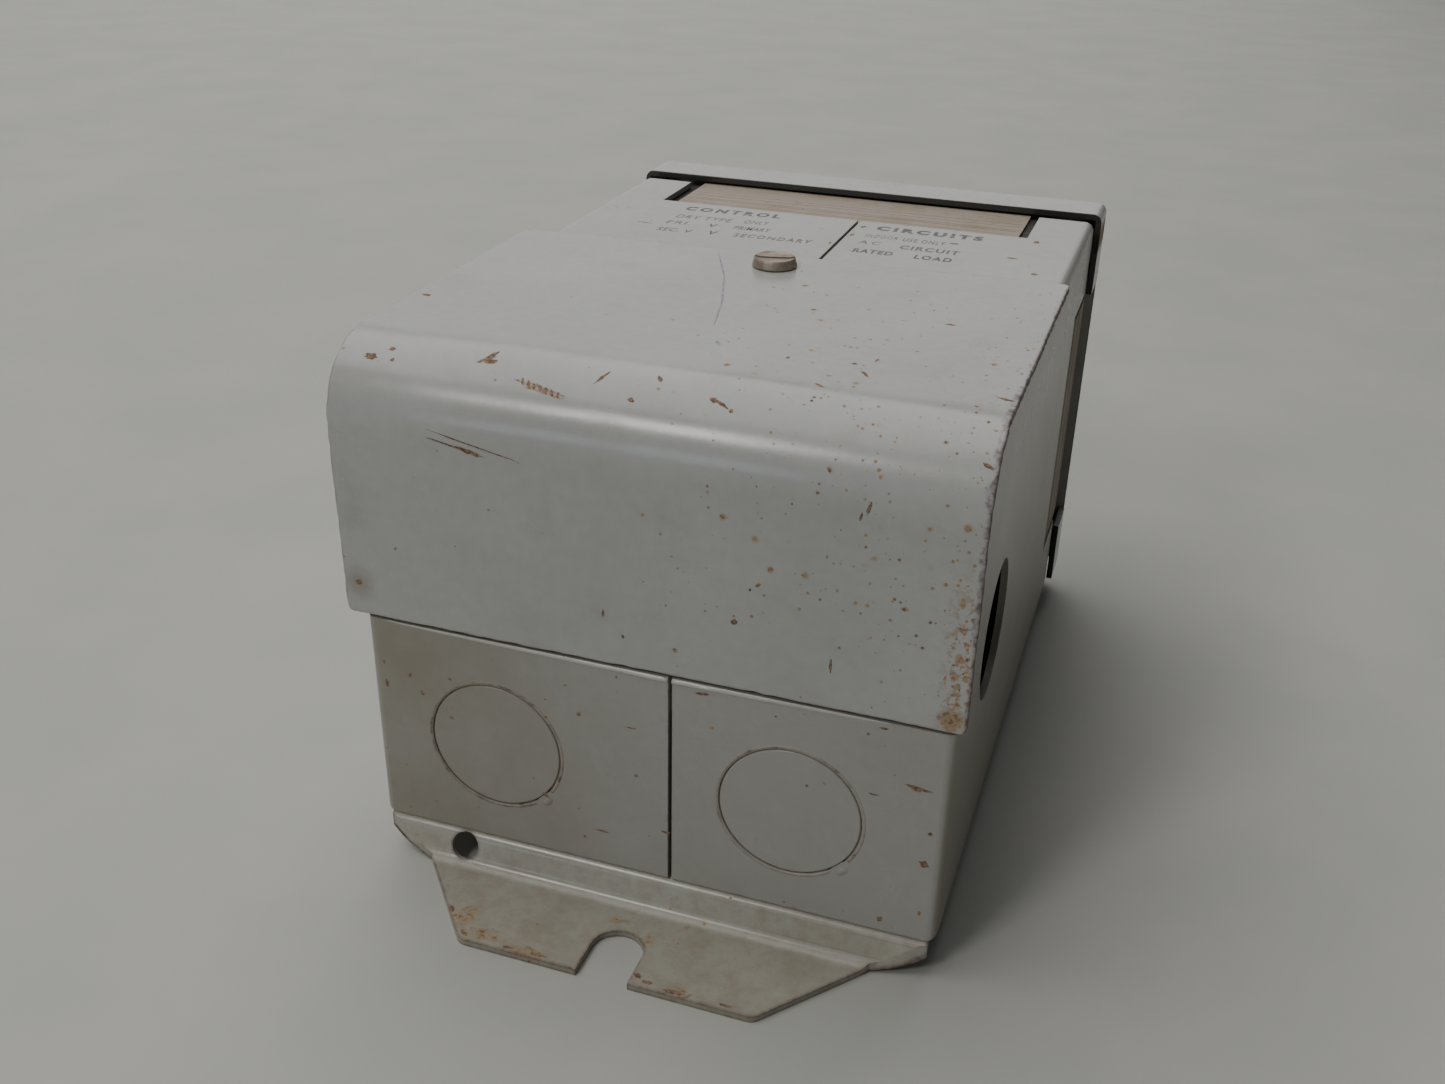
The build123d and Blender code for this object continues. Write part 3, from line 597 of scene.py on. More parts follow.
CHIP_COLOURS = ((0.13, 0.075, 0.045, 1), (0.29, 0.19, 0.12, 1))
FILM_COLOURS = ((0.27, 0.175, 0.11, 1), (0.40, 0.34, 0.28, 1))
SCRATCH_COLOURS = ((0.19, 0.20, 0.27, 1), (0.33, 0.34, 0.38, 1))
chip_brown = two_tone("chipped_paint", (2.2, 3), (0.38, 0.6), CHIP_COLOURS, 0.75, (3.0, 0.05, 0.8))
rust_film = two_tone("rust_film", (1.2, 4), (0.38, 0.6), FILM_COLOURS, 0.6, (2.0, 0.03, 0.6))
scratch_blue = two_tone("bluish_scratch", (0.5, 3), (0.4, 0.6), SCRATCH_COLOURS, 0.5)
HATCH = [(-20.1 + 0.98 * k, 69.8 + 0.22 * k, 0.62, 0.24, 108) for k in range(7)]
flakes("cover_chips", list(DARK_MARKS) + HATCH, on_cover, chip_brown, "cover")
HATCH_BASE = ((-16.9, 70.6, 3.9, 0.62, -11),)
flakes("cover_hatch_base", HATCH_BASE, on_cover, rust_film, "cover", 0.012)
flakes("cover_scratch", SCRATCH, on_cover, scratch_blue, "cover")

# ---- the folded case, the back plate and the end cap ----
def in_case(place):
    """A place in case millimetres, as the materials' coordinates have it."""
    return place + NEAR_Y / MM


def case_detail(g):
    """The conduit end is browned by handling, most at its left, and the right wall gets painted shade, darker
    towards its bottom.
    """
    x, y, z = g.axes()
    blotch = g.smooth(g.noise(0.06, 5), 0.3, 0.65, 0.75, 1.15)
    on_end = g.smooth(y, in_case(0.9), in_case(0.2))
    to_left = g.smooth(x, 8.0, -46.0, 0.26, 0.62)
    end_film = g.math("MULTIPLY", g.math("MULTIPLY", on_end, to_left), blotch)
    # painted shade: the right wall darkens from its top towards its bottom
    lower = g.smooth(z, 84.0, 22.0, 0.22, 0.72)
    wall_shade = g.math("MULTIPLY", g.smooth(x, 47.2, 48.2), lower)
    return {"grime_and_shade": g.math("MAXIMUM", end_film, wall_shade, clamp=True)}


def cap_detail(g):
    """The cap's sheared near edge is painted near black, and rust starts at its right corner."""
    x, y, z = g.axes()
    blackened_edge = g.smooth(y, in_case(124.42), in_case(124.18))
    where = g.add("ShaderNodeCombineXYZ", [(0, x), (1, z)]).outputs[0]
    corner = g.spots(where, ((49.2, 84.2, 0.9, 3.2, 0),), 0.5)
    return {"blackened": g.math("MULTIPLY", blackened_edge, 0.95), "rust": corner}


EAR_RUST = (
    (-25.1, -81.6, 2.0, 2.4, 35), (-20.0, -84.3, 3.0, 1.2, 0), (-11.8, -85.4, 2.6, 1.0, 0),
    (13.6, -85.4, 2.2, 0.9, 0), (4.9, -76.6, 0.9, 1.5, 0), (-1.0, -73.9, 1.6, 0.7, 0),
)


def ear_detail(g):
    """The ears are yellowed and darkened, partly their own yellowing and partly painted shade, with rust
    creeping in from their edges.
    """
    out = g.math("ABSOLUTE", g.axes()[1])
    on_ear = g.smooth(out, 69.4, 72.0)
    film = g.smooth(g.noise(0.12, 5), 0.35, 0.75, 0.10, 0.40)
    flat = g.vector("MULTIPLY", g.ragged(2.6, 0.6), (1, 1, 0))
    rust = g.spots(flat, EAR_RUST, 0.6)
    rust = g.math("MULTIPLY", rust, g.smooth(g.noise(1.1, 5), 0.44, 0.60, 0.35, 1.0))
    return {"grime_and_shade": g.math("MULTIPLY", on_ear, film), "rust": rust}


case_paint = enamel("case_enamel_worn", (0.415, 0.42, 0.40, 1), wear=0.2, reach=0.6, detail=case_detail)
cap_paint = enamel("cap_enamel_worn", (0.43, 0.435, 0.42, 1), wear=0.45, reach=0.7, detail=cap_detail)
# the back plate's base is darker than the case's: partly its own yellowed colour, partly painted shade on the
# ears
plate_paint = enamel("back_plate_enamel_worn_and_shaded", (0.39, 0.39, 0.335, 1), specks=0.04, wear=0.75, reach=1.1,
                     grime_and_shade=0.5, detail=ear_detail)
for shell in ("left_case_shell", "right_case_shell"):
    soften(shell, case_paint, 0.25 * MM)
soften("end_cap", cap_paint, 0.3 * MM)
soften("back_plate", plate_paint, 0.25 * MM, 3)
for disc in ("knockout_near_left", "knockout_near_right", "knockout_side"):
    soften(disc, case_paint, 0.25 * MM)

# ---- places on the case's outside ----
def on_end(x, z, above):
    """A point above the outside of the end flaps."""
    return at(x, -above, z)


def on_front(x, y, above):
    """A point above the outside of the front flaps."""
    return at(x, y, FRONT_Z / MM + above)


def on_ear(x, y, above):
    """A point above the flat of the near ear."""
    return at(x, y, THICK + above)


# ---- knockout grooves: a pressed ring round each near disc, pinched at its bridge ----
KNOCKOUT_X = (("left", -25.7), ("right", 23.5))
KNOCKOUT_Z = 25.3
KNOCKOUT_R = 11.375
DISC_R = 11.15
BRIDGE_TURN = -45
BRIDGE_HALF = 10
RIM_HALF = 0.32
RIM_HEIGHT = 0.085
SUNK = 0.03                     # how far a swelling's edge lies in the sheet


def ring_bead(bm, x, radius):
    """A low rounded bead round a knockout, open at the bridge."""
    steps, across = 96, 5
    start, turn = BRIDGE_TURN + BRIDGE_HALF, 360 - 2 * BRIDGE_HALF
    rows = []
    for k in range(steps + 1):
        angle = math.radians(start + turn * k / steps)
        out, up = math.cos(angle), math.sin(angle)
        wander = 1 + 0.25 * noise.noise(Vector((out, up, radius)) * 1.7)
        row = []
        for j in range(across):
            t = -1 + 2 * j / (across - 1)
            lift = RIM_HEIGHT * wander * math.cos(t * math.pi / 2) - SUNK
            r = radius + RIM_HALF * t
            row.append(bm.verts.new(on_end(x + r * out, KNOCKOUT_Z + r * up, lift)))
        rows.append(row)
    loft(bm, rows)


def groove_web(bm, x):
    """The thin web left in a knockout's groove, open at the bridge."""
    steps = 90
    low, high = DISC_R - 0.05, KNOCKOUT_R - 0.02
    profile = ((low, 0.26), (high, 0.26), (high, 0.7), (low, 0.7))
    rows = []
    for k in range(steps + 1):
        angle = math.radians(BRIDGE_TURN + BRIDGE_HALF + (360 - 2 * BRIDGE_HALF) * k / steps)
        out, up = math.cos(angle), math.sin(angle)
        rows.append([bm.verts.new(on_end(x + r * out, KNOCKOUT_Z + r * up, -depth)) for r, depth in profile])
    loft(bm, rows)


def low_bump(bm, x, z, radius, turn, half_size, height):
    """A soft swelling of the end flap, at a radius and angle from a point on it."""
    rings, around = 7, 28
    turn = math.radians(turn)
    out, along = (math.cos(turn), math.sin(turn)), (-math.sin(turn), math.cos(turn))
    rows = []
    for r in range(1, rings + 1):
        share = r / rings
        lift = (height + SUNK) * (1 - share ** 2) ** 2 - SUNK
        row = []
        for k in range(around):
            angle = 2 * math.pi * k / around
            a = half_size[0] * share * math.cos(angle) + radius
            b = half_size[1] * share * math.sin(angle)
            px, pz = x + a * out[0] + b * along[0], z + a * out[1] + b * along[1]
            row.append(bm.verts.new(on_end(px, pz, lift)))
        rows.append(row)
    top = bm.verts.new(on_end(x + radius * out[0], z + radius * out[1], height))
    for k in range(around):
        n = (k + 1) % around
        bm.faces.new([top, rows[0][k], rows[0][n]])
        for inner, outer in zip(rows, rows[1:]):
            bm.faces.new([inner[k], outer[k], outer[n], inner[n]])
    bm.faces.new(rows[-1])


groove_grime = moulded("groove_grime", (0.25, 0.20, 0.13, 1), (0.12, 0.085, 0.05, 1), 0.7, 0.6, 0.05)
for side_name, centre_x in KNOCKOUT_X:
    bm = bmesh.new()
    ring_bead(bm, centre_x, KNOCKOUT_R + 0.33)
    piece(f"knockout_rim_{side_name}", from_bmesh(bm, "rim"), [case_paint], "case", ())
for side_name, centre_x in KNOCKOUT_X:
    bm = bmesh.new()
    groove_web(bm, centre_x)
    piece(f"knockout_web_{side_name}", from_bmesh(bm, "web", False), [groove_grime], f"near_{side_name}_disc",
          ())
    # the sheet pinched up where the bridge holds the disc
    bm = bmesh.new()
    low_bump(bm, centre_x, KNOCKOUT_Z, KNOCKOUT_R + 1.0, BRIDGE_TURN, (0.95, 1.5), 0.16)
    piece(f"knockout_pinch_{side_name}", from_bmesh(bm, "pinch"), [case_paint], "case", ())

# ---- the end flaps' top edges ----
FLAP_TOP = 45.0
SEAM_X = 4.2
SEAM_CLEARANCE = 0.32
LIP_PROUD = 0.30
LIP_DEPTH = 0.95
# the lips' paint is lighter than the case's: partly the sheet edge's own yellowish grey, partly a painted
# highlight along the flaps' top edges
lip_paint_and_highlight = enamel("lip_enamel_worn_highlighted", (0.50, 0.50, 0.45, 1), specks=0.10, wear=0.1, reach=0.3, grime_and_shade=0.3)


def flap_lip(name, start, end):
    """The top edge of an end flap, sprung out a little towards the seam, with a worn arris."""
    bm = bmesh.new()
    steps, across = 90, 9
    top = FLAP_TOP - 0.01
    rows = []
    for k in range(steps + 1):
        share = k / steps
        x = start + (end - start) * share
        uneven = 1 + 0.45 * noise.noise(Vector((x * 0.35, end, SEED)))
        proud = LIP_PROUD * share ** 1.1 * uneven
        deep = LIP_DEPTH * share ** 0.45 + 0.04
        row = []
        for j in range(across):
            t = j / (across - 1)
            out = proud * math.sin(math.pi * t) ** 0.8 if 0 < j < across - 1 else -0.02
            row.append(bm.verts.new(on_end(x, top - deep * t, out)))
        row += [bm.verts.new(on_end(x, z, -0.3)) for z in (top - deep, top)]
        rows.append(row)
    loft(bm, rows)
    piece(name, from_bmesh(bm, name), [lip_paint_and_highlight], "case", ())


flap_lip("flap_lip_left", -44.0, SEAM_X - SEAM_CLEARANCE)
flap_lip("flap_lip_right", 38.0, SEAM_X + SEAM_CLEARANCE)

# ---- chips in the case's paint: x, height or depth, half length, half width, turn ----
END_CHIPS = (
    (42.5, 34.9, 2.0, 0.3, 6), (42.4, 34.7, 1.1, 0.42, 0), (36.1, 32.1, 0.9, 0.14, 0),
    (44.6, 21.5, 0.8, 0.6, 30), (-7.4, 13.2, 1.2, 0.22, 0), (3.4, 16.0, 0.9, 0.25, 5),
    (38.7, 9.1, 0.5, 0.5, 0), (-44.9, 33.0, 0.4, 0.7, 0), (-38.5, 32.5, 0.5, 0.3, 60),
    (9.4, 43.4, 1.3, 0.25, -5), (-14.0, 44.6, 0.9, 0.16, 0), (-4.0, 44.5, 0.7, 0.18, 0),
    (13.3, 44.6, 0.6, 0.3, 0), (36.9, 43.9, 0.7, 0.2, 0), (26.0, 31.0, 0.25, 0.25, 0),
    (-33.2, 36.3, 0.4, 0.2, 30), (45.0, 27.2, 0.35, 0.3, 0), (44.6, 12.0, 0.3, 0.5, 0),
    (-40.5, 35.4, 0.32, 0.55, 20), (-33.4, 28.9, 0.4, 0.3, 0), (-10.9, 35.0, 0.42, 0.38, 0),
    (-2.2, 34.5, 0.9, 0.12, 0), (-1.4, 25.7, 0.3, 0.3, 0), (-17.2, 17.7, 0.8, 0.35, 35),
    (-21.7, 14.6, 0.5, 0.3, 0), (-45.0, 36.9, 0.2, 0.4, 0),
)

EAR_CHIPS = (
    (5.2, -16.3, 0.75, 0.5, 20), (7.1, -17.2, 0.9, 0.4, -10), (11.6, -17.7, 1.6, 0.4, 0),
    (-10.8, -17.6, 1.3, 0.3, 0), (-16.2, -17.7, 1.1, 0.3, 0), (-24.0, -17.2, 0.9, 0.35, 30),
    (-28.5, -12.8, 0.4, 0.9, -25), (19.8, -17.6, 1.0, 0.3, 0),
)
FRONT_CHIPS = (
    (36.4, 89.0, 1.0, 0.4, 0), (41.5, 80.5, 0.7, 0.5, 20), (6.1, 99.5, 0.4, 0.8, 30),
    (5.4, 93.0, 0.35, 0.9, 10), (3.1, 86.0, 0.3, 0.7, 0), (38.9, 101.5, 0.6, 0.9, 0),
    (-34.0, 86.0, 1.4, 0.2, 5), (24.6, 94.5, 0.9, 0.5, 0),
)
flakes("end_flap_chips", END_CHIPS, on_end, chip_brown, "case")
flakes("near_ear_chips", EAR_CHIPS, on_ear, chip_brown, "case")
flakes("front_flap_chips", FRONT_CHIPS, on_front, chip_brown, "case")

# ---- worn stamped words on the front flaps, all of them generic ----
INK_COLOURS = ((0.10, 0.105, 0.12, 1), (0.34, 0.345, 0.34, 1))
ink = two_tone("worn_ink", (1.1, 5, None, 0.7), (0.50, 0.70), INK_COLOURS, 0.55)
# words, left, right, middle y, height, letter spacing, weight; the left block was stamped aslant
PRINT = (
    ("CONTROL", -30.2, -10.8, 99.8, 3.0, 1.45, 0.05),
    ("DRY TYPE", -29.8, -18.8, 93.3, 2.4, 1.1, 0.0),
    ("ONLY", -16.3, -11.5, 94.2, 2.4, 1.1, 0.0),
    ("PRI.", -30.1, -25.4, 88.4, 2.2, 1.1, 0.0),
    ("V", -21.9, -20.2, 88.9, 2.2, 1.0, 0.02),
    ("PRIMARY", -16.7, -9.7, 89.4, 2.4, 1.1, 0.01),
    ("SEC. V", -30.0, -23.4, 83.1, 2.3, 1.1, 0.01),
    ("V", -20.3, -18.5, 84.0, 2.4, 1.0, 0.03),
    ("SECONDARY", -15.1, -0.3, 84.7, 2.4, 1.3, 0.02),
    ("CIRCUITS", 8.7, 29.2, 99.7, 3.1, 1.45, 0.06),
    ("INDOOR", 8.0, 14.2, 93.7, 2.2, 1.3, 0.0),
    ("USE ONLY", 15.2, 23.2, 93.6, 2.4, 1.2, 0.01),
    ("AC", 7.9, 11.9, 89.0, 2.2, 1.5, 0.0),
    ("CIRCUIT", 15.8, 26.8, 88.4, 2.6, 1.2, 0.03),
    ("RATED", 8.2, 15.6, 83.2, 2.5, 1.2, 0.04),
    ("LOAD", 19.6, 26.4, 83.2, 2.7, 1.3, 0.04),
)
LEFT_SLANT = 0.05
LETTER_ROOT = -0.05


def lettering(name, words, box, place, material, spacing=1.0, heavy=0.0, proud=0.012, slant=0.0):
    """Words as a thin raised mesh that fills a box (left, right, middle, height) on a surface."""
    left, right, middle, height = box
    curve = bpy.data.curves.new(name, "FONT")
    curve.body = words
    curve.size = 1.0
    curve.space_character = spacing
    curve.offset = heavy
    curve.extrude = 0.004
    curve.resolution_u = 3
    text = bpy.data.objects.new("lettering_source", curve)
    bpy.context.scene.collection.objects.link(text)
    bpy.context.view_layer.update()
    mesh = bpy.data.meshes.new_from_object(text.evaluated_get(bpy.context.evaluated_depsgraph_get()))
    bpy.data.objects.remove(text)
    mesh.name = name
    xs = [v.co.x for v in mesh.vertices]
    ys = [v.co.y for v in mesh.vertices]
    low_x, wide = min(xs), max(xs) - min(xs)
    low_y, tall = min(ys), max(ys) - min(ys)
    for v in mesh.vertices:
        u = left + (right - left) * (v.co.x - low_x) / wide
        w = middle + height * ((v.co.y - low_y) / tall - 0.5)
        w += 0.08 * noise.noise(Vector((u * 0.25, middle, 0)))
        w += slant * (u - (left + right) / 2)
        v.co = place(u, w, proud if v.co.z > 0 else LETTER_ROOT)
    piece(name, mesh, [material], "case", ())


for number, (words, left, right, y, height, spacing, heavy) in enumerate(PRINT):
    slant = LEFT_SLANT if left < 0 else 0.0
    lettering(f"print_word_{number + 1}", words, (left, right, y, height), on_front, ink,
              spacing, heavy, slant=slant)


# ---- the laminated core, plate by plate ----
STACK_NEAR = 104.6
STACK = 19.05
PLATES = 38
PLATE_GAP = 0.015
CORE_BOTTOM = 7.0
CORE_TOP = 87.8
LEG = 15.875                    # width of an outer leg, and half the width of the middle one
WINDOW_HALF = 2 * LEG
WINDOW_LOW = CORE_BOTTOM + LEG
WINDOW_HIGH = CORE_TOP - LEG
INNER_HALF = 46.275
INNER_LOW = 8.25
INNER_HIGH = 87.25
FRONT_LUG = 34.85
SIDE_LUG = (25.0, 72.4)
SIDE_LUG_HALF = 47.5
BOLT_X = 39.425
BOLT_INSET = 8.2
BOLT_HOLE_R = 2.5


def core_plate(bm, outline, holes, y, thick, rng):
    """One thin plate: an outline and its holes, moved a little as plates are in a stack."""
    slip_x, slip_z = rng.uniform(-0.06, 0.06), rng.uniform(-0.035, 0.0)
    loops = [outline] + [
        [(cx + BOLT_HOLE_R * math.cos(a * math.pi / 8), cz + BOLT_HOLE_R * math.sin(a * math.pi / 8))
         for a in range(16)]
        for cx, cz in holes
    ]
    edges = []
    for loop in loops:
        verts = [bm.verts.new(at(x + slip_x, y, z + slip_z)) for x, z in loop]
        edges += [bm.edges.new((verts[k], verts[(k + 1) % len(verts)])) for k in range(len(verts))]
    filled = bmesh.ops.triangle_fill(bm, use_beauty=True, use_dissolve=False, edges=edges)
    extruded(bm, [f for f in filled["geom"] if isinstance(f, bmesh.types.BMFace)], thick)


def core_stack(name, half, bolt_z, stands_for, seed):
    """A stack of plates, from the right half of their outline, with a bolt hole at each side."""
    left = [(-x, z) for x, z in reversed(half)]
    outline = left[-1:] + half + left[:-1]
    holes = [(-BOLT_X, bolt_z), (BOLT_X, bolt_z)]
    bm = bmesh.new()
    rng = random.Random(seed)
    pitch = STACK / PLATES
    for k in range(PLATES):
        core_plate(bm, outline, holes, STACK_NEAR + k * pitch + PLATE_GAP / 3, pitch - PLATE_GAP, rng)
    piece(name, from_bmesh(bm, name, False), [core_steel_and_shade], "case", [stands_for])


g = Graph("core_plates_with_painted_shade")
along = g.noise(1.0, 2, g.stretched((0.018, 2.4, 0.018)), 0.4)
varnish = g.smooth(g.noise(0.09, 4), 0.45, 0.68)
tint = g.mix(g.smooth(along, 0.3, 0.7), (0.335, 0.275, 0.225, 1), (0.385, 0.33, 0.275, 1))
tint = g.mix(g.math("MULTIPLY", varnish, 0.6), tint, (0.28, 0.215, 0.12, 1))
tint = g.mix(g.smooth(g.noise(0.5, 4), 0.60, 0.74, 0, 0.5), tint, (0.16, 0.09, 0.05, 1))
# painted shade: every plate face but the front face (above about 87.5 mm) and the side faces (over about 47
# mm out) is painted near black for the shade in the gaps round the core
x, _, z = g.axes()
across = g.math("ABSOLUTE", g.math("SUBTRACT", x, MIDDLE_X / MM))
outside = g.math("MAXIMUM", g.smooth(z, 87.35, 87.6), g.smooth(across, 46.9, 47.2))
tint = g.mix(outside, (0.018, 0.014, 0.012, 1), tint)
core_steel_and_shade = g.finish(tint, g.smooth(along, 0.3, 0.7, 0.48, 0.6), g.bump(g.noise(0.8, 3), 0.02, 0.5), 0.1)

# the right halves of the plates' outlines
E_HALF = [
    (FRONT_LUG, CORE_BOTTOM), (FRONT_LUG, INNER_LOW), (INNER_HALF, INNER_LOW), (INNER_HALF, SIDE_LUG[0]),
    (SIDE_LUG_HALF, SIDE_LUG[0]), (SIDE_LUG_HALF, WINDOW_HIGH), (WINDOW_HALF, WINDOW_HIGH),
    (WINDOW_HALF, WINDOW_LOW), (LEG, WINDOW_LOW), (LEG, WINDOW_HIGH),
]
I_HALF = [
    (SIDE_LUG_HALF, WINDOW_HIGH), (SIDE_LUG_HALF, SIDE_LUG[1]), (INNER_HALF, SIDE_LUG[1]),
    (INNER_HALF, INNER_HIGH), (FRONT_LUG, INNER_HIGH), (FRONT_LUG, CORE_TOP),
]
core_stack("core_e_plates", E_HALF, CORE_BOTTOM + BOLT_INSET, "core_e_laminations", 11)
core_stack("core_i_plates", I_HALF, CORE_TOP - BOLT_INSET, "core_i_laminations", 12)

# ---- the cover's screw: a low slotted head with a burr, on a threaded shank ----
tarnish = metal("tarnished_screw", (0.43, 0.375, 0.31, 1), (0.20, 0.155, 0.12, 1), 0.46, 0.5, 0.7, 1.6)
zinc = metal("zinc_plate", (0.58, 0.58, 0.56, 1), (0.30, 0.29, 0.26, 1), 0.36, 0.9, 0.4, 1.2)
SCREW_X = (screw_low.x + screw_high.x) / 2
SCREW_Y = (screw_low.y + screw_high.y) / 2
HEAD_R = (screw_high.x - screw_low.x) / 2
HEAD_TOP = screw_high.z
HEAD_BOTTOM = HEAD_TOP - 1.6 * MM
# the head's profile: share of its radius and height; its top is dished, with a burr round it
RIM = ((0.3, 1.38), (0.6, 1.40), (0.78, 1.47), (0.85, 1.58), (0.885, 1.58), (0.915, 1.46), (0.95, 1.0),
       (0.985, 0.5), (1.0, 0.2), (0.985, 0.04), (0.93, 0.0))
SLOT_HALF = 0.52 * MM
SLOT_DEPTH = 0.62 * MM
SLOT_TURN = 14
AROUND = 64


def circle(bm, radius, z, count):
    """A ring of points round the screw's axis."""
    turns = [2 * math.pi * k / count for k in range(count)]
    return [bm.verts.new((SCREW_X + radius * math.cos(a), SCREW_Y + radius * math.sin(a), z)) for a in turns]


bm = bmesh.new()
loft(bm, [circle(bm, HEAD_R * share, HEAD_BOTTOM + height * MM, AROUND) for share, height in RIM])
head = piece("cover_screw_head", from_bmesh(bm, "cover_screw_head"), [tarnish], "cover_screw",
             ["cover_screw"])
bm = bmesh.new()
slot_place = Matrix.LocRotScale((SCREW_X, SCREW_Y, HEAD_TOP), Euler((0, 0, math.radians(SLOT_TURN))),
                                (3 * HEAD_R, 2 * SLOT_HALF, 2 * SLOT_DEPTH))
bmesh.ops.create_cube(bm, size=1.0, matrix=slot_place)
cutter = bpy.data.objects.new("slot_cutter", from_bmesh(bm, "slot_cutter", False))
bpy.context.scene.collection.objects.link(cutter)
cut = head.modifiers.new("Slot", "BOOLEAN")
cut.operation = "DIFFERENCE"
cut.object = cutter
cut.solver = "EXACT"
bpy.context.view_layer.update()
slotted = bpy.data.meshes.new_from_object(head.evaluated_get(bpy.context.evaluated_depsgraph_get()))
head.modifiers.clear()
head.data = slotted
bpy.data.objects.remove(cutter)
bevelled(head, 0.08 * MM, 2, 40)


SHANK_R = 2.0 * MM
PITCH = 0.9 * MM
THREAD_DEPTH = 0.585 * MM


def threaded_shank(bm, top, bottom):
    """A shank with a real helical thread, from top down to bottom, tapered at its tip."""
    around, per_turn = 24, 4
    rows = int((top - bottom) / PITCH * per_turn)
    rings = []
    for r in range(rows + 1):
        z = top - (top - bottom) * r / rows
        taper = min(1.0, (z - bottom) / (0.5 * MM) * 0.3 + 0.7)
        ring = []
        for k in range(around):
            angle = 2 * math.pi * k / around
            phase = (top - z) / PITCH - k / around
            radius = (SHANK_R - THREAD_DEPTH * abs((phase % 1.0) * 2 - 1)) * taper
            x, y = radius * math.cos(angle), radius * math.sin(angle)
            ring.append(bm.verts.new((SCREW_X + x, SCREW_Y + y, z)))
        rings.append(ring)
    loft(bm, rings)


bm = bmesh.new()
threaded_shank(bm, HEAD_BOTTOM + 0.2 * MM, screw_low.z)
piece("cover_screw_shank", from_bmesh(bm, "cover_screw_shank"), [tarnish], "cover_screw")

# ---- what stands inside the case ----
nylon = moulded("nylon_bobbin", (0.55, 0.51, 0.42, 1), (0.40, 0.35, 0.26, 1), 0.45, 0.12, 0.03)
phenolic = moulded("phenolic_board", (0.035, 0.028, 0.024, 1), (0.075, 0.06, 0.05, 1), 0.38, 0.5, 0.03)
fibre = moulded("fibre_board", (0.15, 0.085, 0.055, 1), (0.22, 0.14, 0.09, 1), 0.7, 0.8, 0.08)
brass = metal("brass", (0.62, 0.44, 0.20, 1), (0.30, 0.20, 0.10, 1), 0.34, 0.95, 0.5, 1.2)
tinned = metal("tinned_copper", (0.60, 0.57, 0.53, 1), (0.34, 0.30, 0.26, 1), 0.38, 0.9, 0.4, 1.2)

g = Graph("enamelled_wire")
turns = g.math("SINE", g.math("MULTIPLY", g.axes()[2], 12.0))
tint = g.mix(g.smooth(turns, -0.8, 0.6), (0.09, 0.03, 0.015, 1), (0.50, 0.20, 0.09, 1))
copper = g.finish(tint, 0.32, g.bump(turns, 0.12, 0.9), 0.85)

g = Graph("insulating_paper")
fibres = g.noise(1.0, 4, g.stretched((0.5, 0.5, 4.0)))
layers = g.smooth(g.math("SINE", g.math("MULTIPLY", g.axes()[2], 0.7)), 0.90, 0.99)
tint = g.mix(g.smooth(fibres, 0.35, 0.65), (0.36, 0.25, 0.13, 1), (0.50, 0.38, 0.22, 1))
tint = g.mix(g.math("MULTIPLY", layers, 0.6), tint, (0.20, 0.13, 0.07, 1))
paper = g.finish(tint, 0.55, g.bump(fibres, 0.06, 0.7))

g = Graph("woven_sleeve")
strands = [g.math("SINE", g.math("MULTIPLY", place, 9.0)) for place in g.axes()[1:]]
weave = g.math("MULTIPLY", *strands)
tint = g.mix(g.smooth(weave, -0.4, 0.5), (0.07, 0.07, 0.075, 1), (0.15, 0.15, 0.155, 1))
tint = g.mix(g.smooth(g.noise(0.4, 4), 0.5, 0.7, 0, 0.5), tint, (0.22, 0.19, 0.14, 1))
sleeve = g.finish(tint, 0.7, g.bump(weave, 0.08, 0.8))

for node, material, width in (
    ("core_clamp_frame", zinc, 0.2), ("core_bolts", zinc, 0.25), ("core_bolt_nuts", zinc, 0.25),
    ("core_bolt_washers", zinc, 0.12), ("end_cap_spacers", fibre, 0.2), ("coil_bobbin", nylon, 0.2),
    ("primary_winding", copper, 0.3), ("winding_insulation", paper, 0.1), ("secondary_winding", copper, 0.3),
    ("coil_outer_wrap", paper, 0.3), ("barrier_board", fibre, 0.2), ("barrier_brackets", zinc, 0.2),
    ("terminal_board", phenolic, 0.25), ("terminal_plates", brass, 0.12), ("terminal_screws", brass, 0.15),
    ("terminal_lugs", tinned, 0.1), ("terminal_nuts", brass, 0.15), ("board_rivets", zinc, 0.15),
    ("primary_leads", sleeve, 0.05), ("secondary_leads", sleeve, 0.05), ("cover_screw_nut", zinc, 0.25),
):
    soften(node, material, width * MM)


def outlined_plate(name, outline, low_y, high_y, width):
    """A plate of the cover with an outline in x and z, from low_y to high_y, its edges rounded."""
    bm = bmesh.new()
    near = bm.faces.new([bm.verts.new(at(x, low_y, z)) for x, z in outline])
    extruded(bm, [near], high_y - low_y)
    bevelled(piece(name, from_bmesh(bm, name), [inside_paint], "cover", ()), width * MM)


def rounded_outline(left, right, low, high, radius, steps=5):
    """A rectangle with rounded corners."""
    points = []
    for cx, cz, start in ((right - radius, high - radius, 0), (left + radius, high - radius, 90),
                          (left + radius, low + radius, 180), (right - radius, low + radius, 270)):
        for k in range(steps + 1):
            angle = math.radians(start + 90 * k / steps)
            points.append((cx + radius * math.cos(angle), cz + radius * math.sin(angle)))
    return points


# the lip that hooks behind the end flaps, and the nubs that it is welded on by
outlined_plate("cover_lip", rounded_outline(-44.0, 44.0, 38.0, 54.0, 2.0), 1.3, 2.5, 0.2)
WELD_Z = 50.0
WELD_R = 2.4
for number, x in enumerate((-30.0, 0.0, 30.0)):
    nub = rounded_outline(x - WELD_R, x + WELD_R, WELD_Z - WELD_R, WELD_Z + WELD_R, WELD_R - 0.01, 8)
    outlined_plate(f"cover_lip_weld_{number + 1}", nub, 0.95, 1.32, 0.05)


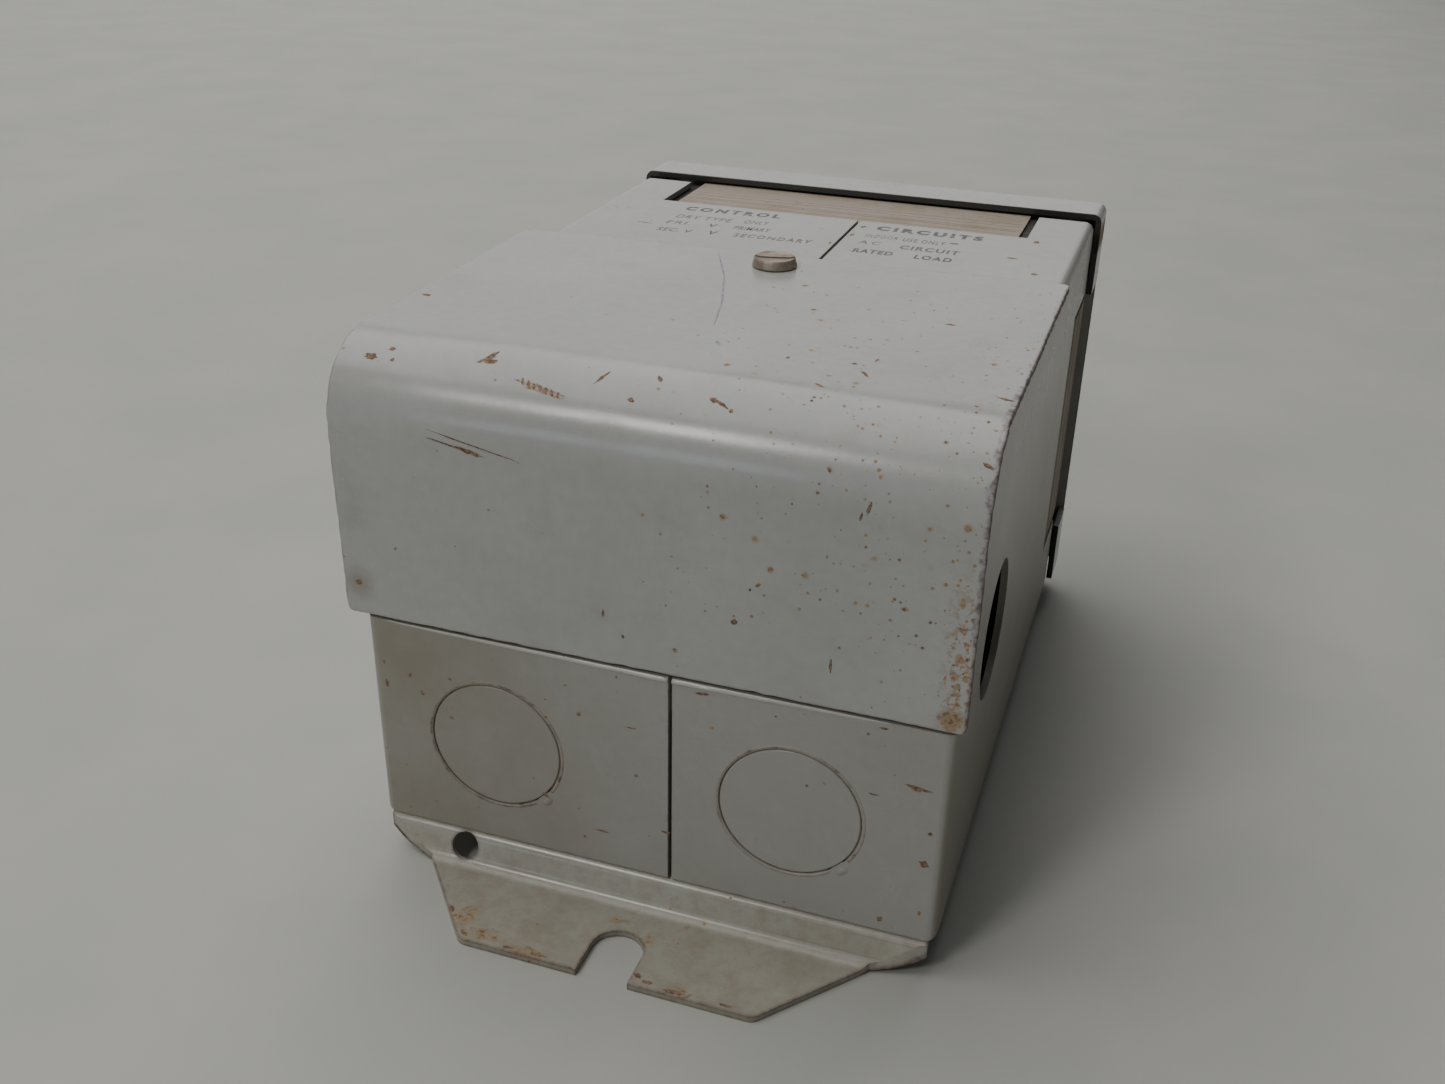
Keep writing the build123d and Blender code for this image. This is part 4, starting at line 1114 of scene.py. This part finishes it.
def on_board(x, z, above):
    """A point above the near face of the terminal board."""
    return Vector((MIDDLE_X + x * MM, board_low.y - above * MM, z * MM))


number_paint = moulded("number_paint", (0.62, 0.60, 0.54, 1), (0.48, 0.45, 0.38, 1), 0.6, 1.2, 0.02)
TERMINAL_PITCH = 12.6
for number in range(6):
    x = (number - 2.5) * TERMINAL_PITCH
    lettering(f"terminal_number_{number + 1}", str(number + 1), (x - 1.0, x + 1.0, 30.4, 3.0), on_board,
              number_paint, proud=0.12)

# ---- camera, floor and light ----
camera_data = bpy.data.cameras.new("camera")
camera_data.lens = 35.87
camera_data.sensor_width = 36.0
camera_data.clip_start = 0.01
camera = bpy.data.objects.new("camera", camera_data)
turned = Euler([math.radians(angle) for angle in (62.674, -1.101, 18.998)])
camera.matrix_world = Matrix.LocRotScale((0.0694, -0.2373, 0.1615), turned, None)
bpy.context.scene.collection.objects.link(camera)
bpy.context.scene.camera = camera


def softbox(name, towards, distance, size, power, colour):
    """A square area light at a distance from the object's middle, turned to face it."""
    data = bpy.data.lights.new(name, "AREA")
    data.shape = "RECTANGLE"
    data.size, data.size_y = size
    data.energy = power
    data.color = colour
    light = bpy.data.objects.new(name, data)
    direction = Vector(towards).normalized()
    light.location = Vector((0, 0, 0.05)) + direction * distance
    light.rotation_euler = direction.to_track_quat("Z", "Y").to_euler()
    bpy.context.scene.collection.objects.link(light)


softbox("window", (-0.31, -0.70, 0.62), 1.5, (0.30, 0.24), 4.6, (1.0, 0.965, 0.93))
softbox("low_window", (-0.33, -0.93, 0.15), 1.5, (0.36, 0.26), 0.9, (0.74, 0.86, 1.0))
softbox("overhead", (-0.34, 0.14, 0.92), 1.7, (2.4, 1.6), 26.5, (1.0, 0.98, 0.96))
softbox("wall", (-0.45, 0.86, 0.26), 1.4, (2.0, 0.9), 3.8, (1.0, 0.98, 0.97))

world = bpy.data.worlds.new("world")
world.use_nodes = True
backdrop = world.node_tree.nodes["Background"]
backdrop.inputs["Color"].default_value = (0.80, 0.82, 0.84, 1)
backdrop.inputs["Strength"].default_value = 0.09
bpy.context.scene.world = world

bm = bmesh.new()
bmesh.ops.create_grid(bm, x_segments=2, y_segments=2, size=6.0)
floor = bpy.data.objects.new("floor", from_bmesh(bm, "floor"))
g = Graph("pale_floor")
floor_tone = g.mix(g.smooth(g.noise(0.02, 4), 0.3, 0.7), (0.42, 0.43, 0.40, 1), (0.46, 0.465, 0.435, 1))
floor.data.materials.append(g.finish(floor_tone, 0.7))
bpy.context.scene.collection.objects.link(floor)
